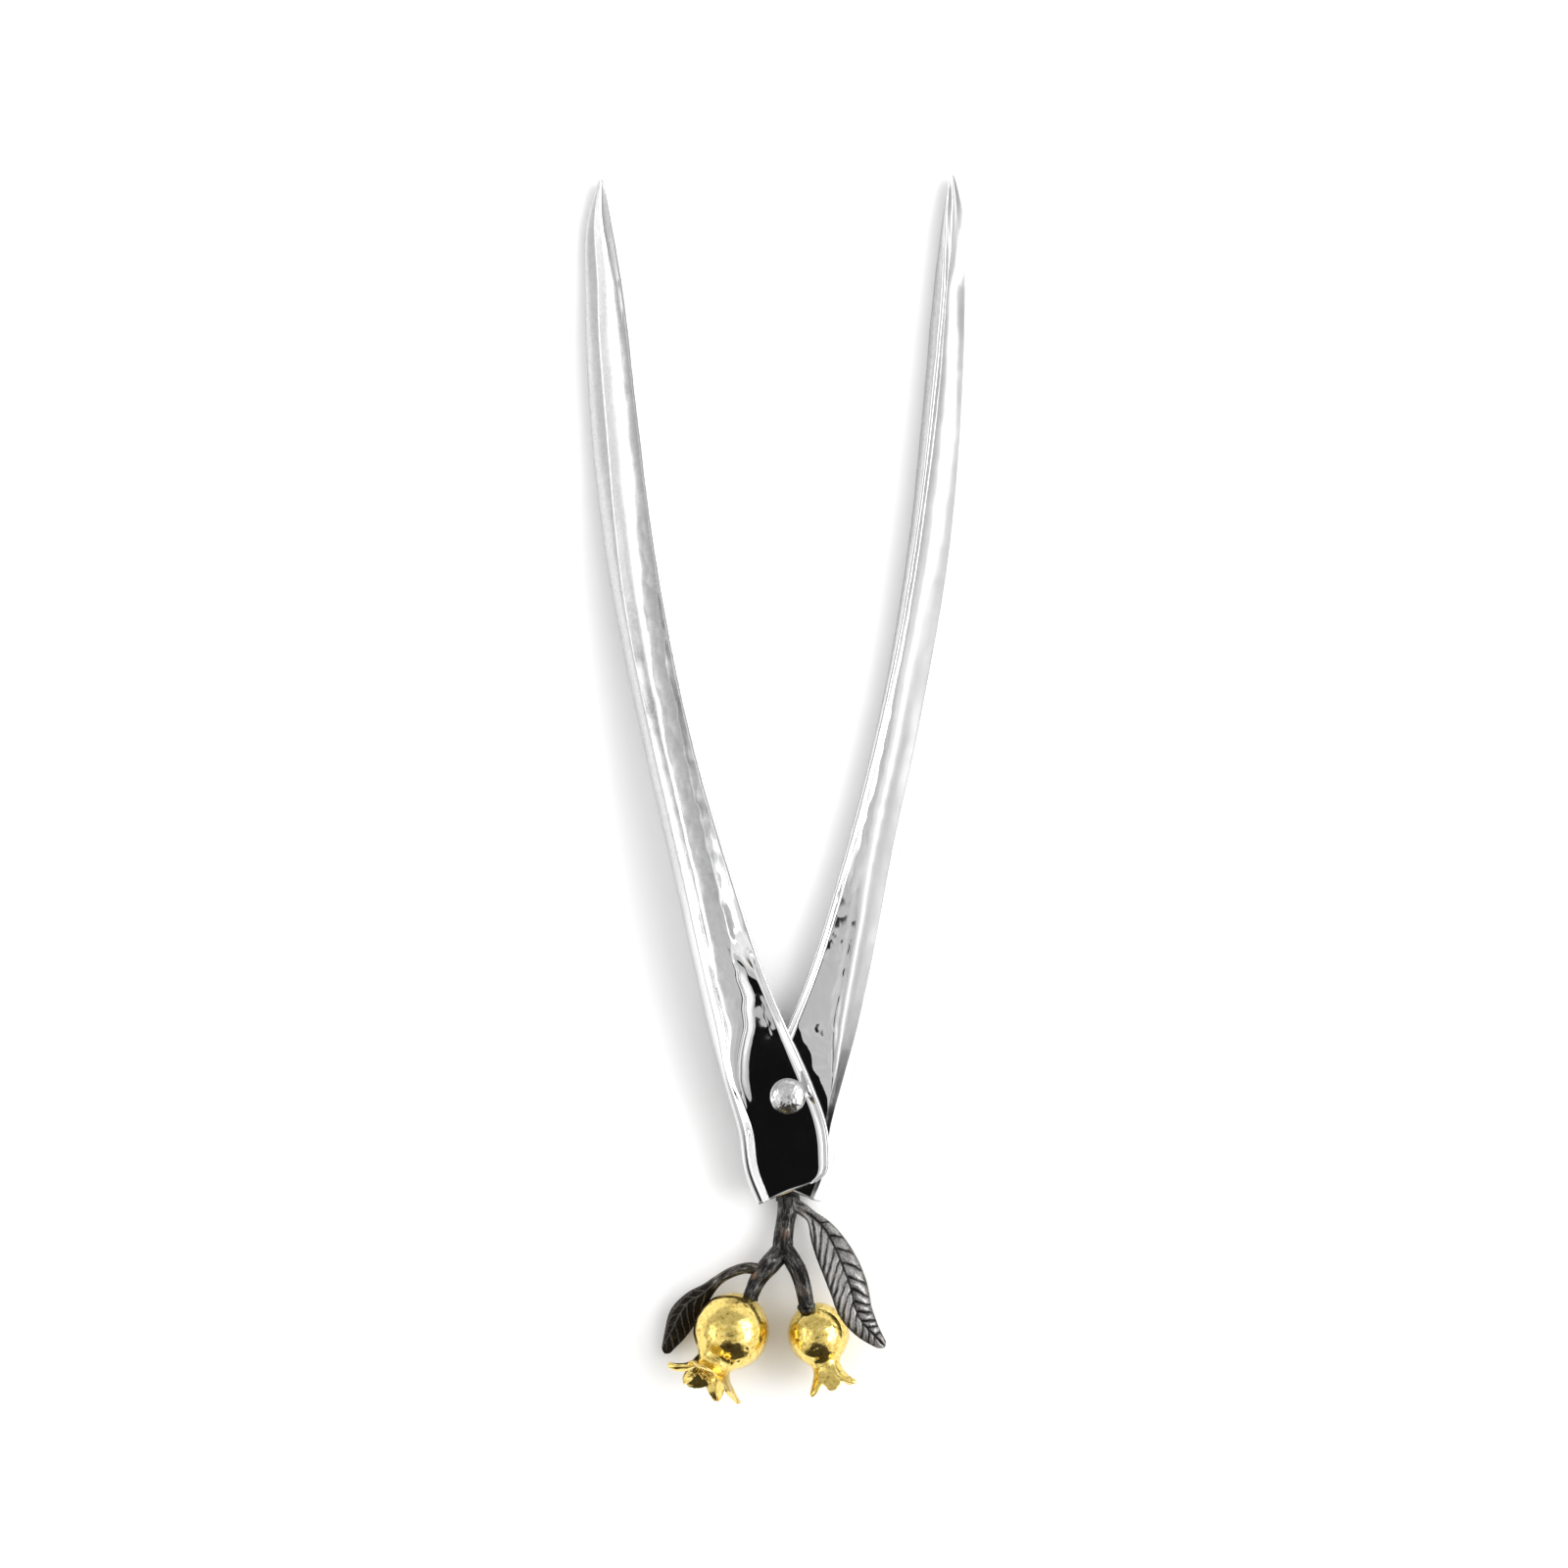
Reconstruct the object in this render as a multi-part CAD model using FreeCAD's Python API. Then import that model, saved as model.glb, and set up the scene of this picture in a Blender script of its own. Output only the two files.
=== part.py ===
import FreeCAD, Part
import math
import os
from collections import namedtuple

from FreeCAD import Rotation, Vector

# Lever nutcracker: two cast steel arms turn on one rivet, and a spray of two pomegranates and
# two leaves hangs below the pivot. It lies on a table. Millimetres and degrees.
# +Z is up and is the rivet's axis, +Y runs from the rivet to the tips of the arms, and the
# origin is on the rivet's axis in the plane of the table.

# ---- layers on the rivet, from the table up ----
TANG_T = 1.5            # flat end of the branch, under both arms
FLOOR_T = 1.6           # floor of each arm's trough
SPACER_T = 1.4          # washer that lifts the upper arm over the lower arm's heel wall
PLAY = 0.05             # axial play between turning faces
LOWER_Z = TANG_T + PLAY
SPACER_Z = LOWER_Z + FLOOR_T + PLAY
UPPER_Z = SPACER_Z + SPACER_T + PLAY
HEAD_Z = UPPER_Z + FLOOR_T + PLAY

# ---- rivet ----
SHANK_R = 1.8
BORE_R = SHANK_R + PLAY
HEAD_R = 3.3
HEAD_BAND_H = 0.5       # straight foot of the head, below its dome
HEAD_DOME_H = 1.8
TAIL_R = 2.7            # countersunk tail, flush with the tang's underside
TAIL_H = 0.9
SPACER_R = 3.1

# ---- arms ----
SKEW = 0.7              # both arms lie turned this far to the left of the spray
CREST_W = 0.8           # flat top of the outer wall
LIP_CREST_W = 0.6       # flat top of the inner lip
JOIN_Y = 20.0           # the flat heel ends here and the drooping arm begins
DROOP_END_Y = 132.0     # the arm's back is all but on the table from here on
BACK_Z = 0.12           # height of the back where it is lowest
TIP_LIFT = 0.9          # rise of the back from there to the point
TIP_LIFT_Y = 150.0
HEEL_SLOPE = 0.38       # slope of the cut across the heel
HEEL_Y = -17.8          # where that cut crosses the centre line
HEEL_R = 2.6            # rounded inner corner of the heel
ARM_END_Y = 171.2

# One station is a cross-section of the right-hand arm at a constant y. Inner and outer are the
# x of its two sides. Lip and wall are the heights of the inner lip and of the outer wall above
# the trough's floor. Shoulder is how far the wall's crest stands inside the outer side, and
# floor_in and floor_out are how far the flat floor stays clear of the inner and outer sides.
Station = namedtuple("Station", "y inner outer lip wall shoulder floor_in floor_out thick")

HEEL = [
    Station(-21.0, -7.9, 4.3, 0.9, 1.1, 0.6, 1.9, 2.2, FLOOR_T),
    Station(-14.0, -7.9, 7.8, 0.9, 1.1, 0.8, 1.9, 2.5, FLOOR_T),
    Station(-6.5, -7.5, 9.7, 0.9, 1.2, 1.1, 1.9, 2.9, FLOOR_T),
    Station(3.0, -4.3, 12.4, 1.0, 2.6, 1.6, 2.0, 4.4, FLOOR_T),
    Station(12.0, -0.4, 14.9, 1.0, 3.5, 1.9, 2.0, 5.6, FLOOR_T),
    Station(JOIN_Y, 2.9, 16.7, 1.1, 3.8, 2.0, 2.2, 6.4, FLOOR_T),
]
ARM = [
    HEEL[-1],
    Station(40.0, 9.4, 20.9, 1.5, 4.0, 2.0, 2.6, 6.4, 1.6),
    Station(68.0, 17.0, 27.0, 1.9, 4.0, 2.0, 2.7, 6.2, 1.5),
    Station(100.0, 22.9, 33.0, 2.1, 3.8, 2.0, 2.8, 6.0, 1.5),
    Station(130.0, 26.4, 35.9, 2.1, 3.4, 1.9, 2.9, 5.4, 1.4),
    Station(150.0, 28.5, 36.4, 1.9, 2.8, 1.6, 2.6, 4.4, 1.3),
    Station(163.0, 30.6, 35.8, 1.2, 1.6, 1.0, 1.6, 2.6, 1.0),
    Station(ARM_END_Y, 32.2, 33.4, 0.3, 0.3, 0.15, 0.5, 0.6, 0.5),
]
# Towards the tip the lower arm's inner lip leans over to the outside by this much, at each y.
LEAN = {JOIN_Y: 0.0, 40.0: 0.1, 68.0: 0.4, 100.0: 1.2, 130.0: 2.1, 150.0: 2.2, 163.0: 0.9,
        ARM_END_Y: 0.0}
LEAN_LIFT = 0.4         # a leaning lip stands this much higher per millimetre of lean

# ---- spray ----
TANG_R = 5.2
TANG_TAIL_W = 4.2
TANG_END_Y = -19.8
TRUNK = [(0.1, -19.1, 1.8, 1.8), (0.0, -21.0, 2.3, 1.7), (-0.5, -24.0, 3.4, 1.6),
         (-0.9, -27.5, 4.6, 1.75), (-0.8, -29.6, 5.2, 1.9)]
LARGE_TWIG = [(-0.6, -28.4, 4.8, 1.7), (-3.2, -31.1, 5.6, 1.75), (-5.4, -33.8, 6.0, 1.45),
              (-6.6, -36.4, 6.0, 1.25), (-7.3, -38.4, 6.0, 1.2)]
SMALL_TWIG = [(-0.9, -28.2, 4.8, 1.5), (1.2, -31.0, 6.0, 1.5), (2.5, -34.0, 7.2, 1.4),
              (3.2, -37.0, 7.9, 1.3), (3.6, -39.8, 8.2, 1.25)]
LEFT_LEAF_STEM = [(-4.6, -32.4, 5.8, 1.1), (-7.6, -31.7, 5.9, 0.95), (-10.4, -32.5, 5.7, 0.85),
                  (-13.2, -34.2, 5.3, 0.8), (-15.4, -35.6, 5.0, 0.7)]
RIGHT_LEAF_STEM = [(0.9, -20.3, 2.3, 1.1), (2.6, -21.2, 2.9, 1.1), (4.4, -22.5, 3.7, 1.0),
                   (6.2, -24.2, 4.7, 0.7)]
# Midrib x, y, z, then the half-width to the left and to the right of it and the thickness.
LEFT_LEAF = [(-15.0, -35.4, 5.0, 0.6, 0.6, 0.7), (-17.4, -37.8, 4.6, 2.3, 1.8, 0.9),
             (-19.3, -41.0, 3.9, 2.9, 2.2, 0.9), (-20.9, -44.4, 3.2, 2.1, 1.8, 0.8),
             (-22.4, -47.2, 2.7, 1.0, 0.9, 0.7), (-23.1, -48.5, 2.5, 0.2, 0.2, 0.5)]
RIGHT_LEAF = [(4.2, -22.0, 3.6, 0.9, 0.8, 0.7), (6.3, -24.2, 4.8, 3.0, 1.6, 0.9),
              (8.8, -27.9, 6.6, 4.1, 2.4, 1.1), (10.2, -31.2, 7.9, 4.1, 3.0, 1.1),
              (11.4, -35.0, 9.0, 3.8, 3.3, 1.1), (12.8, -39.6, 9.8, 3.3, 2.9, 1.0),
              (14.8, -42.7, 9.8, 2.5, 2.0, 0.9), (16.9, -45.2, 9.3, 1.1, 0.9, 0.7),
              (17.9, -46.5, 9.0, 0.2, 0.2, 0.5)]
LEAF_CAMBER = 0.16      # rise of the midrib over the leaf's edges, per width

Fruit = namedtuple("Fruit", "name x y radius heading tilt neck_r sepal_r sepal_reach stem")
LARGE = Fruit("large", -10.5, -43.6, 7.0, -119.0, 20.0, 3.4, 7.3, 11.9, LARGE_TWIG)
SMALL = Fruit("small", 5.7, -44.3, 5.7, -75.5, 12.0, 2.6, 4.6, 10.2, SMALL_TWIG)
SEPALS = 6
SEPAL_T = 0.7
CUP_FLOOR_T = 0.8       # floor of the crown's cup, where the stamens stand
NECK_FOOT = 0.80        # height of the neck's foot over the fruit's centre, per radius
NECK_H = 1.6
STAMEN_R = 0.25
PEG_R = 0.6
PEG_L = 3.6


def save(shape, name):
    """Writes one sub-part and prints what it holds."""
    solids = shape.Solids
    shape = solids[0] if len(solids) == 1 else Part.makeCompound(solids)
    shape.exportStep(f"parts/{name}.step")
    print(f"{name:20s} solids {len(solids)} valid {shape.isValid()} volume {shape.Volume:9.2f}")


def spline(points):
    """One smooth edge through points."""
    curve = Part.BSplineCurve()
    curve.interpolate(points)
    return curve.toShape()


def smooth_step(value):
    value = min(1.0, max(0.0, value))
    return value * value * (3 - 2 * value)


def back_z(y, base):
    """Height of an arm's back: level at the heel, down to the table, and up again to the tip."""
    share = smooth_step((y - JOIN_Y) / (DROOP_END_Y - JOIN_Y))
    lift = TIP_LIFT * max(0.0, (y - TIP_LIFT_Y) / (ARM_END_Y - TIP_LIFT_Y)) ** 2
    return base + (BACK_Z - base) * share + lift


def section(station, base, lean):
    """The closed outline of an arm at one station, from the lip over the floor to the wall."""
    width = station.outer - station.inner
    floor = station.thick
    lip_z = floor + station.lip + LEAN_LIFT * lean
    wall_z = floor + station.wall
    size = min(1.0, width / 8.0)
    lip_out = 0.25 * size + lean
    lip_in = lip_out + LIP_CREST_W * size
    crest_out = width - station.shoulder
    crest_in = crest_out - CREST_W * size
    floor_in = station.floor_in + 0.5 * lean
    floor_out = width - station.floor_out
    bottom = back_z(station.y, base)

    def at(u, z):
        return Vector(station.inner + u, station.y, bottom + z)

    def between(a, b, share):
        return a + (b - a) * share

    edges = [
        Part.makeLine(at(lip_out, lip_z), at(lip_in, lip_z)),
        spline([
            at(lip_in, lip_z),
            at(between(lip_in, floor_in, 0.35), between(lip_z, floor, 0.62)),
            at(floor_in, floor),
        ]),
        Part.makeLine(at(floor_in, floor), at(floor_out, floor)),
        spline([
            at(floor_out, floor),
            at(between(floor_out, crest_in, 0.55), between(floor, wall_z, 0.30)),
            at(crest_in, wall_z),
        ]),
        Part.makeLine(at(crest_in, wall_z), at(crest_out, wall_z)),
        spline([
            at(crest_out, wall_z),
            at(between(crest_out, width, 0.72), 0.72 * wall_z),
            at(width, 0.42 * wall_z),
            at(width - 0.5 * size, 0.12 * wall_z),
            at(width - 1.3 * size, 0.0),
        ]),
        Part.makeLine(at(width - 1.3 * size, 0.0), at(1.0 * size, 0.0)),
        spline([
            at(1.0 * size, 0.0),
            at(0.12 * size, 0.22 * lip_z),
            at(between(0.0, lip_out, 0.45), 0.62 * lip_z),
            at(lip_out, lip_z),
        ]),
    ]
    return Part.Wire(edges)


def heel_cut():
    """What is cut away below the heel: a slanting end with a rounded inner corner."""
    inner = HEEL[0].inner
    low, left, right = -40.0, -30.0, 30.0

    def on_cut(x):
        return Vector(x, HEEL_Y - HEEL_SLOPE * x, -1)

    corner = Vector(inner, on_cut(inner).y, -1)
    slant = math.hypot(1.0, HEEL_SLOPE)
    start = on_cut(inner + HEEL_R / slant)
    end = corner + Vector(0, HEEL_R, 0)
    middle = corner * 0.18 + (start + end) * 0.41
    edges = [
        Part.makeLine(on_cut(right), start),
        Part.Arc(start, middle, end).toShape(),
        Part.makeLine(end, Vector(left, end.y, -1)),
        Part.makeLine(Vector(left, end.y, -1), Vector(left, low, -1)),
        Part.makeLine(Vector(left, low, -1), Vector(right, low, -1)),
        Part.makeLine(Vector(right, low, -1), on_cut(right)),
    ]
    return Part.Face(Part.Wire(edges)).extrude(Vector(0, 0, 30))


def arm(base, leans):
    """The right-hand arm with its back at height base over the heel."""
    heel = Part.makeLoft([section(s, base, 0.0) for s in HEEL], True, False)
    blade = Part.makeLoft([section(s, base, leans.get(s.y, 0.0)) for s in ARM], True, False)
    body = heel.fuse(blade).cut(heel_cut())
    bore = Part.makeCylinder(BORE_R, 30, Vector(0, 0, -1))
    return body.cut(bore)


def upper_arm():
    mirrored = arm(UPPER_Z, {}).mirror(Vector(0, 0, 0), Vector(1, 0, 0))
    return mirrored.rotate(Vector(0, 0, 0), Vector(0, 0, 1), SKEW)


def lower_arm():
    return arm(LOWER_Z, LEAN).rotate(Vector(0, 0, 0), Vector(0, 0, 1), SKEW)


def rivet():
    """Domed head, shank through every layer, and a countersunk tail flush with the tang."""
    tail = Part.makeCone(TAIL_R, SHANK_R, TAIL_H)
    shank = Part.makeCylinder(SHANK_R, HEAD_Z, Vector(0, 0, 0))
    band = Part.makeCylinder(HEAD_R, HEAD_BAND_H, Vector(0, 0, HEAD_Z))
    dome_z = HEAD_Z + HEAD_BAND_H
    ball_r = (HEAD_R ** 2 + HEAD_DOME_H ** 2) / (2 * HEAD_DOME_H)
    ball = Part.makeSphere(ball_r, Vector(0, 0, dome_z + HEAD_DOME_H - ball_r))
    dome = ball.common(Part.makeCylinder(HEAD_R, 2 * HEAD_DOME_H, Vector(0, 0, dome_z)))
    return shank.fuse([tail, band, dome]).removeSplitter()


def spacer():
    ring = Part.makeCylinder(SPACER_R, SPACER_T, Vector(0, 0, SPACER_Z))
    return ring.cut(Part.makeCylinder(BORE_R, 10, Vector(0, 0, 0)))


def limb(points):
    """A tapering round limb through points, each x, y, z and radius."""
    centres = [Vector(*p[:3]) for p in points]
    circles = []
    for i, (centre, point) in enumerate(zip(centres, points)):
        ahead = centres[min(i + 1, len(centres) - 1)] - centres[max(i - 1, 0)]
        circles.append(Part.Wire(Part.makeCircle(point[3], centre, ahead)))
    return Part.makeLoft(circles, True, False)


def tang():
    """The flat end of the branch: a round eye under the arms and a tail towards the trunk."""
    eye = Part.makeCylinder(TANG_R, TANG_T)
    tail = Part.makeBox(TANG_TAIL_W, -TANG_END_Y, TANG_T,
                        Vector(-TANG_TAIL_W / 2, TANG_END_Y, 0))
    return eye.fuse(tail)


def leaf(points):
    """A lens-shaped leaf along its midrib."""
    centres = [Vector(*p[:3]) for p in points]
    wires = []
    for i, (centre, point) in enumerate(zip(centres, points)):
        left, right, thick = point[3:]
        ahead = centres[min(i + 1, len(centres) - 1)] - centres[max(i - 1, 0)]
        side = Vector(-ahead.y, ahead.x, 0).normalize()
        drop = Vector(0, 0, LEAF_CAMBER * (left + right))
        edge_l = centre - side * left - drop
        edge_r = centre + side * right - drop
        top = centre + Vector(0, 0, thick / 2)
        under = centre - Vector(0, 0, thick / 2)
        wires.append(Part.Wire([
            Part.Arc(edge_l, top, edge_r).toShape(),
            Part.Arc(edge_r, under, edge_l).toShape(),
        ]))
    return Part.makeLoft(wires, True, False)


def place(shape, fruit):
    """Turns a shape made about +Z so that +Z points out of the fruit's crown."""
    turn = Rotation(Vector(0, 0, 1), fruit.heading) * Rotation(Vector(0, 1, 0), 90 - fruit.tilt)
    shape.Placement = FreeCAD.Placement(Vector(fruit.x, fruit.y, fruit.radius), turn)
    return shape


def fruit_body(fruit):
    """A ball with a short neck where the crown stands."""
    foot = Vector(0, 0, NECK_FOOT * fruit.radius)
    neck = Part.makeCone(fruit.neck_r + 0.9, fruit.neck_r, NECK_H, foot)
    return place(Part.makeSphere(fruit.radius).fuse(neck), fruit)


def crown(fruit):
    """A flaring cup cut into pointed sepals."""
    foot = NECK_FOOT * fruit.radius + NECK_H
    reach = fruit.sepal_reach - foot
    waist_r = fruit.neck_r + 0.25 * (fruit.sepal_r - fruit.neck_r)
    waist = foot + 0.5 * reach
    profile = [
        Vector(0, 0, foot),
        Vector(fruit.neck_r, 0, foot),
        Vector(waist_r, 0, waist),
        Vector(fruit.sepal_r, 0, foot + reach),
        Vector(fruit.sepal_r - SEPAL_T, 0, foot + reach),
        Vector(waist_r - SEPAL_T, 0, waist + 0.5 * SEPAL_T),
        Vector(fruit.neck_r - SEPAL_T, 0, foot + CUP_FLOOR_T),
        Vector(0, 0, foot + CUP_FLOOR_T),
        Vector(0, 0, foot),
    ]
    cup = Part.Face(Part.makePolygon(profile)).revolve(Vector(0, 0, 0), Vector(0, 0, 1), 360)
    half_gap = 1.1 * math.pi * fruit.sepal_r / SEPALS
    root = foot + 0.4 * reach
    rim = foot + 1.06 * reach
    for i in range(SEPALS):
        notch = Part.makePolygon([Vector(0, 0, root), Vector(0, half_gap, rim),
                                  Vector(0, -half_gap, rim), Vector(0, 0, root)])
        wedge = Part.Face(notch).extrude(Vector(2 * fruit.sepal_r, 0, 0))
        wedge.rotate(Vector(0, 0, 0), Vector(0, 0, 1), (i + 0.5) * 360 / SEPALS)
        cup = cup.cut(wedge)
    return place(cup, fruit)


def stamens(fruit):
    """A ring of short filaments round a middle one, standing in the crown."""
    foot = NECK_FOOT * fruit.radius + NECK_H + CUP_FLOOR_T
    length = 0.55 * (fruit.sepal_reach - foot)
    ring_r = 0.5 * (fruit.neck_r - SEPAL_T)
    spots = [(0.0, 0.0)]
    for i in range(SEPALS):
        angle = 2 * math.pi * i / SEPALS
        spots.append((ring_r * math.cos(angle), ring_r * math.sin(angle)))
    posts = [Part.makeCylinder(STAMEN_R, length, Vector(x, y, foot)) for x, y in spots]
    return place(Part.makeCompound(posts), fruit)


def peg(fruit):
    """The pin that holds the fruit on the end of its twig."""
    end, before = Vector(*fruit.stem[-1][:3]), Vector(*fruit.stem[-2][:3])
    along = (end - before).normalize()
    return Part.makeCylinder(PEG_R, PEG_L, end - along * (0.5 * PEG_L), along)


def main():
    os.makedirs("parts", exist_ok=True)
    save(upper_arm(), "upper_arm")
    save(lower_arm(), "lower_arm")
    pivot = rivet()
    save(pivot, "pivot_rivet")
    save(spacer(), "spacer_washer")

    pegs = {f.name: peg(f) for f in (LARGE, SMALL)}
    branch = tang().fuse([limb(TRUNK), limb(LARGE_TWIG), limb(SMALL_TWIG)])
    branch = branch.cut(pivot)
    for fruit in (LARGE, SMALL):
        body = fruit_body(fruit)
        branch = branch.cut(body).cut(pegs[fruit.name])
        save(body.cut(pegs[fruit.name]), f"{fruit.name}_pomegranate")
        save(crown(fruit), f"{fruit.name}_crown")
        save(stamens(fruit), f"{fruit.name}_stamens")
        save(pegs[fruit.name], f"{fruit.name}_fruit_peg")
    save(branch, "branch")
    for side, stem, blade in (("left", LEFT_LEAF_STEM, LEFT_LEAF),
                              ("right", RIGHT_LEAF_STEM, RIGHT_LEAF)):
        save(limb(stem).fuse(leaf(blade)).cut(branch), f"{side}_leaf")


main()
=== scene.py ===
import random
from collections import namedtuple
from math import asin, cos, exp, hypot, pi, radians, sin, sqrt, tanh

import bmesh
import bpy
import numpy as np
from mathutils import Matrix, Vector, kdtree, noise


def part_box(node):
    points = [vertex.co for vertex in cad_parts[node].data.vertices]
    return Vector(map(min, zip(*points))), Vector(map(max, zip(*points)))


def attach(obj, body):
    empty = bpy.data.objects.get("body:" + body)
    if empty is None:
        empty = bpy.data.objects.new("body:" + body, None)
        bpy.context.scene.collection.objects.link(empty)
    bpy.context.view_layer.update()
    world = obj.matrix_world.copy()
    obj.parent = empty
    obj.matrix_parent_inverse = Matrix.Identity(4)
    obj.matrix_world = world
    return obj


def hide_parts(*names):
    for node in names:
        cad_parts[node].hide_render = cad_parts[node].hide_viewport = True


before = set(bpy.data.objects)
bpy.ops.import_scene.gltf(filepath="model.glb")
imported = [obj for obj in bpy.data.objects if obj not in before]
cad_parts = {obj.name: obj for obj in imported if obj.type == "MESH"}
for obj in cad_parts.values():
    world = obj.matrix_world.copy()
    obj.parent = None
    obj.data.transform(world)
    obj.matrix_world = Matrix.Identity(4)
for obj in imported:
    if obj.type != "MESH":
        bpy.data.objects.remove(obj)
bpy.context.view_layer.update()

MM = 0.001


# ---- small helpers

def ease(value):
    """0 below 0, 1 above 1, and a smooth rise between. Takes numbers or arrays."""
    value = np.clip(value, 0.0, 1.0)
    return value * value * (3 - 2 * value)


def wave(x, y, z):
    """Smooth noise at a place given by its three numbers."""
    return noise.noise(Vector((x, y, z)))


def smooth_table(rows):
    """A function that reads rows, whose first column is the place, by smooth cubics."""
    rows = np.asarray(rows, dtype=float)
    places, values = rows[:, 0], rows[:, 1:]
    slopes = np.gradient(values, places, axis=0)

    def read(at):
        i = min(max(int(np.searchsorted(places, at)) - 1, 0), len(places) - 2)
        span = places[i + 1] - places[i]
        t = min(max((at - places[i]) / span, 0.0), 1.0)
        return (
            (2 * t**3 - 3 * t**2 + 1) * values[i]
            + (t**3 - 2 * t**2 + t) * span * slopes[i]
            + (3 * t**2 - 2 * t**3) * values[i + 1]
            + (t**3 - t**2) * span * slopes[i + 1]
        )
    return read


def bezier(points, count):
    """Places along one cubic curve, its last end left out."""
    t = np.linspace(0, 1, count, endpoint=False)[:, None]
    a, b, c, d = (np.array(p, dtype=float) for p in points)
    return (1 - t) ** 3 * a + 3 * t * (1 - t) ** 2 * b + 3 * t**2 * (1 - t) * c + t**3 * d


def new_object(name, vertices, faces):
    """A smooth-shaded mesh object from places in millimetres, its faces turned outwards."""
    mesh = bpy.data.meshes.new(name)
    mesh.from_pydata([Vector(v) * MM for v in vertices], [], faces)
    mesh.validate()
    obj = bpy.data.objects.new(name, mesh)
    bpy.context.collection.objects.link(obj)
    work = bmesh.new()
    work.from_mesh(mesh)
    bmesh.ops.recalc_face_normals(work, faces=work.faces)
    work.to_mesh(mesh)
    work.free()
    shade_smooth(mesh)
    return obj


def shade_smooth(mesh):
    for polygon in mesh.polygons:
        polygon.use_smooth = True


def apply_modifiers(obj):
    """Leaves the object with the mesh that its modifiers make."""
    depsgraph = bpy.context.evaluated_depsgraph_get()
    made = bpy.data.meshes.new_from_object(obj.evaluated_get(depsgraph))
    obj.modifiers.clear()
    old, obj.data = obj.data, made
    bpy.data.meshes.remove(old)
    shade_smooth(made)


def cut_away(obj, cutter):
    """Takes the cutter's solid out of the object, and removes the cutter."""
    cut = obj.modifiers.new("cut", "BOOLEAN")
    cut.object = cutter
    cut.solver = "EXACT"
    apply_modifiers(obj)
    bpy.data.objects.remove(cutter)


def displace(obj, height):
    """Moves each vertex along its normal by height(place in mm, normal), in millimetres."""
    mesh = obj.data
    moves = [height(v.co / MM, v.normal) for v in mesh.vertices]
    normals = [v.normal.copy() for v in mesh.vertices]
    for vertex, normal, move in zip(mesh.vertices, normals, moves):
        vertex.co += normal * (move * MM)
    mesh.update()


def set_layer(obj, name, values):
    """Stores a value at each vertex."""
    layer = obj.data.attributes.new(name, "FLOAT", "POINT")
    layer.data.foreach_set("value", values)


def tree_of(places):
    """A tree that finds the nearest of these places."""
    tree = kdtree.KDTree(len(places))
    for i, place in enumerate(places):
        tree.insert(place, i)
    tree.balance()
    return tree


def uneven(shift, waves):
    """A height for displace: noise of several kinds, each with a depth and a fineness."""
    return lambda place, normal: sum(d * noise.noise(place * f + shift) for d, f in waves)


def finish_piece(obj, material, body, nodes):
    obj.data.materials.clear()
    obj.data.materials.append(material)
    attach(obj, body)
    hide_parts(*nodes)


def ring_faces(rows, count):
    """Quads between rows of count vertices each, closed by a face at both ends."""
    faces = []
    for row in range(rows - 1):
        start = row * count
        for i in range(count):
            j = (i + 1) % count
            faces.append((start + i, start + j, start + count + j, start + count + i))
    faces.append(tuple(reversed(range(count))))
    last = (rows - 1) * count
    faces.append(tuple(range(last, last + count)))
    return faces


# ---- materials

HAZE_SCALE = 160.0
MIRROR_ROUGH, HAZE_ROUGH = 0.01, 0.05
BRUSHED_ROUGH, SATIN_ROUGH = 0.30, 0.12  # added where the steel is fully brushed or satin
PATCH_COPPER, RUB_COPPER, MOST_COPPER = 0.25, 1.4, 0.9


def make_node(nodes, link, kind, inputs):
    """A node, each of its inputs (by name or number) set to a value or linked to a socket."""
    node = nodes.new("ShaderNode" + kind)
    for name, value in inputs.items():
        if isinstance(value, bpy.types.NodeSocket):
            link(value, node.inputs[name])
        else:
            node.inputs[name].default_value = value
    return node


def node_material(name, metallic=0.0):
    """An empty Principled material with its nodes, shader and a function that links."""
    material = bpy.data.materials.new(name)
    material.use_nodes = True
    nodes = material.node_tree.nodes
    shader = nodes["Principled BSDF"]
    shader.inputs["Metallic"].default_value = metallic
    return material, nodes, shader, material.node_tree.links.new


def ramp(nodes, link, value, stops):
    """The colour at a value of a ramp with stops (place, colour)."""
    node = make_node(nodes, link, "ValToRGB", {"Fac": value})
    elements = node.color_ramp.elements
    while len(elements) > 1:
        elements.remove(elements[-1])
    for i, (place, colour) in enumerate(stops):
        element = elements[0] if i == 0 else elements.new(place)
        element.position = place
        element.color = (*colour, 1.0)
    return node.outputs["Color"]


def noise_at(nodes, link, space, scale, detail):
    """Noise in one of the spaces that the texture coordinates offer."""
    place = make_node(nodes, link, "TexCoord", {}).outputs[space]
    inputs = {"Vector": place, "Scale": scale, "Detail": detail}
    return make_node(nodes, link, "TexNoise", inputs).outputs["Fac"]


def object_noise(nodes, link, scale, detail):
    return noise_at(nodes, link, "Object", scale, detail)


def add_bump(nodes, link, shader, height, distance, strength):
    inputs = {"Strength": strength, "Distance": distance, "Height": height}
    link(make_node(nodes, link, "Bump", inputs).outputs["Normal"], shader.inputs["Normal"])


def fine_grain(nodes, link, shader):
    """The faint unevenness that is left on polished steel."""
    add_bump(nodes, link, shader, object_noise(nodes, link, 900.0, 3.0), 0.02 * MM, 0.10)


def vary_roughness(nodes, link, shader, value, low, high):
    spread = make_node(nodes, link, "MapRange", {"To Min": low, "To Max": high, "Value": value})
    link(spread.outputs["Result"], shader.inputs["Roughness"])


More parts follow.
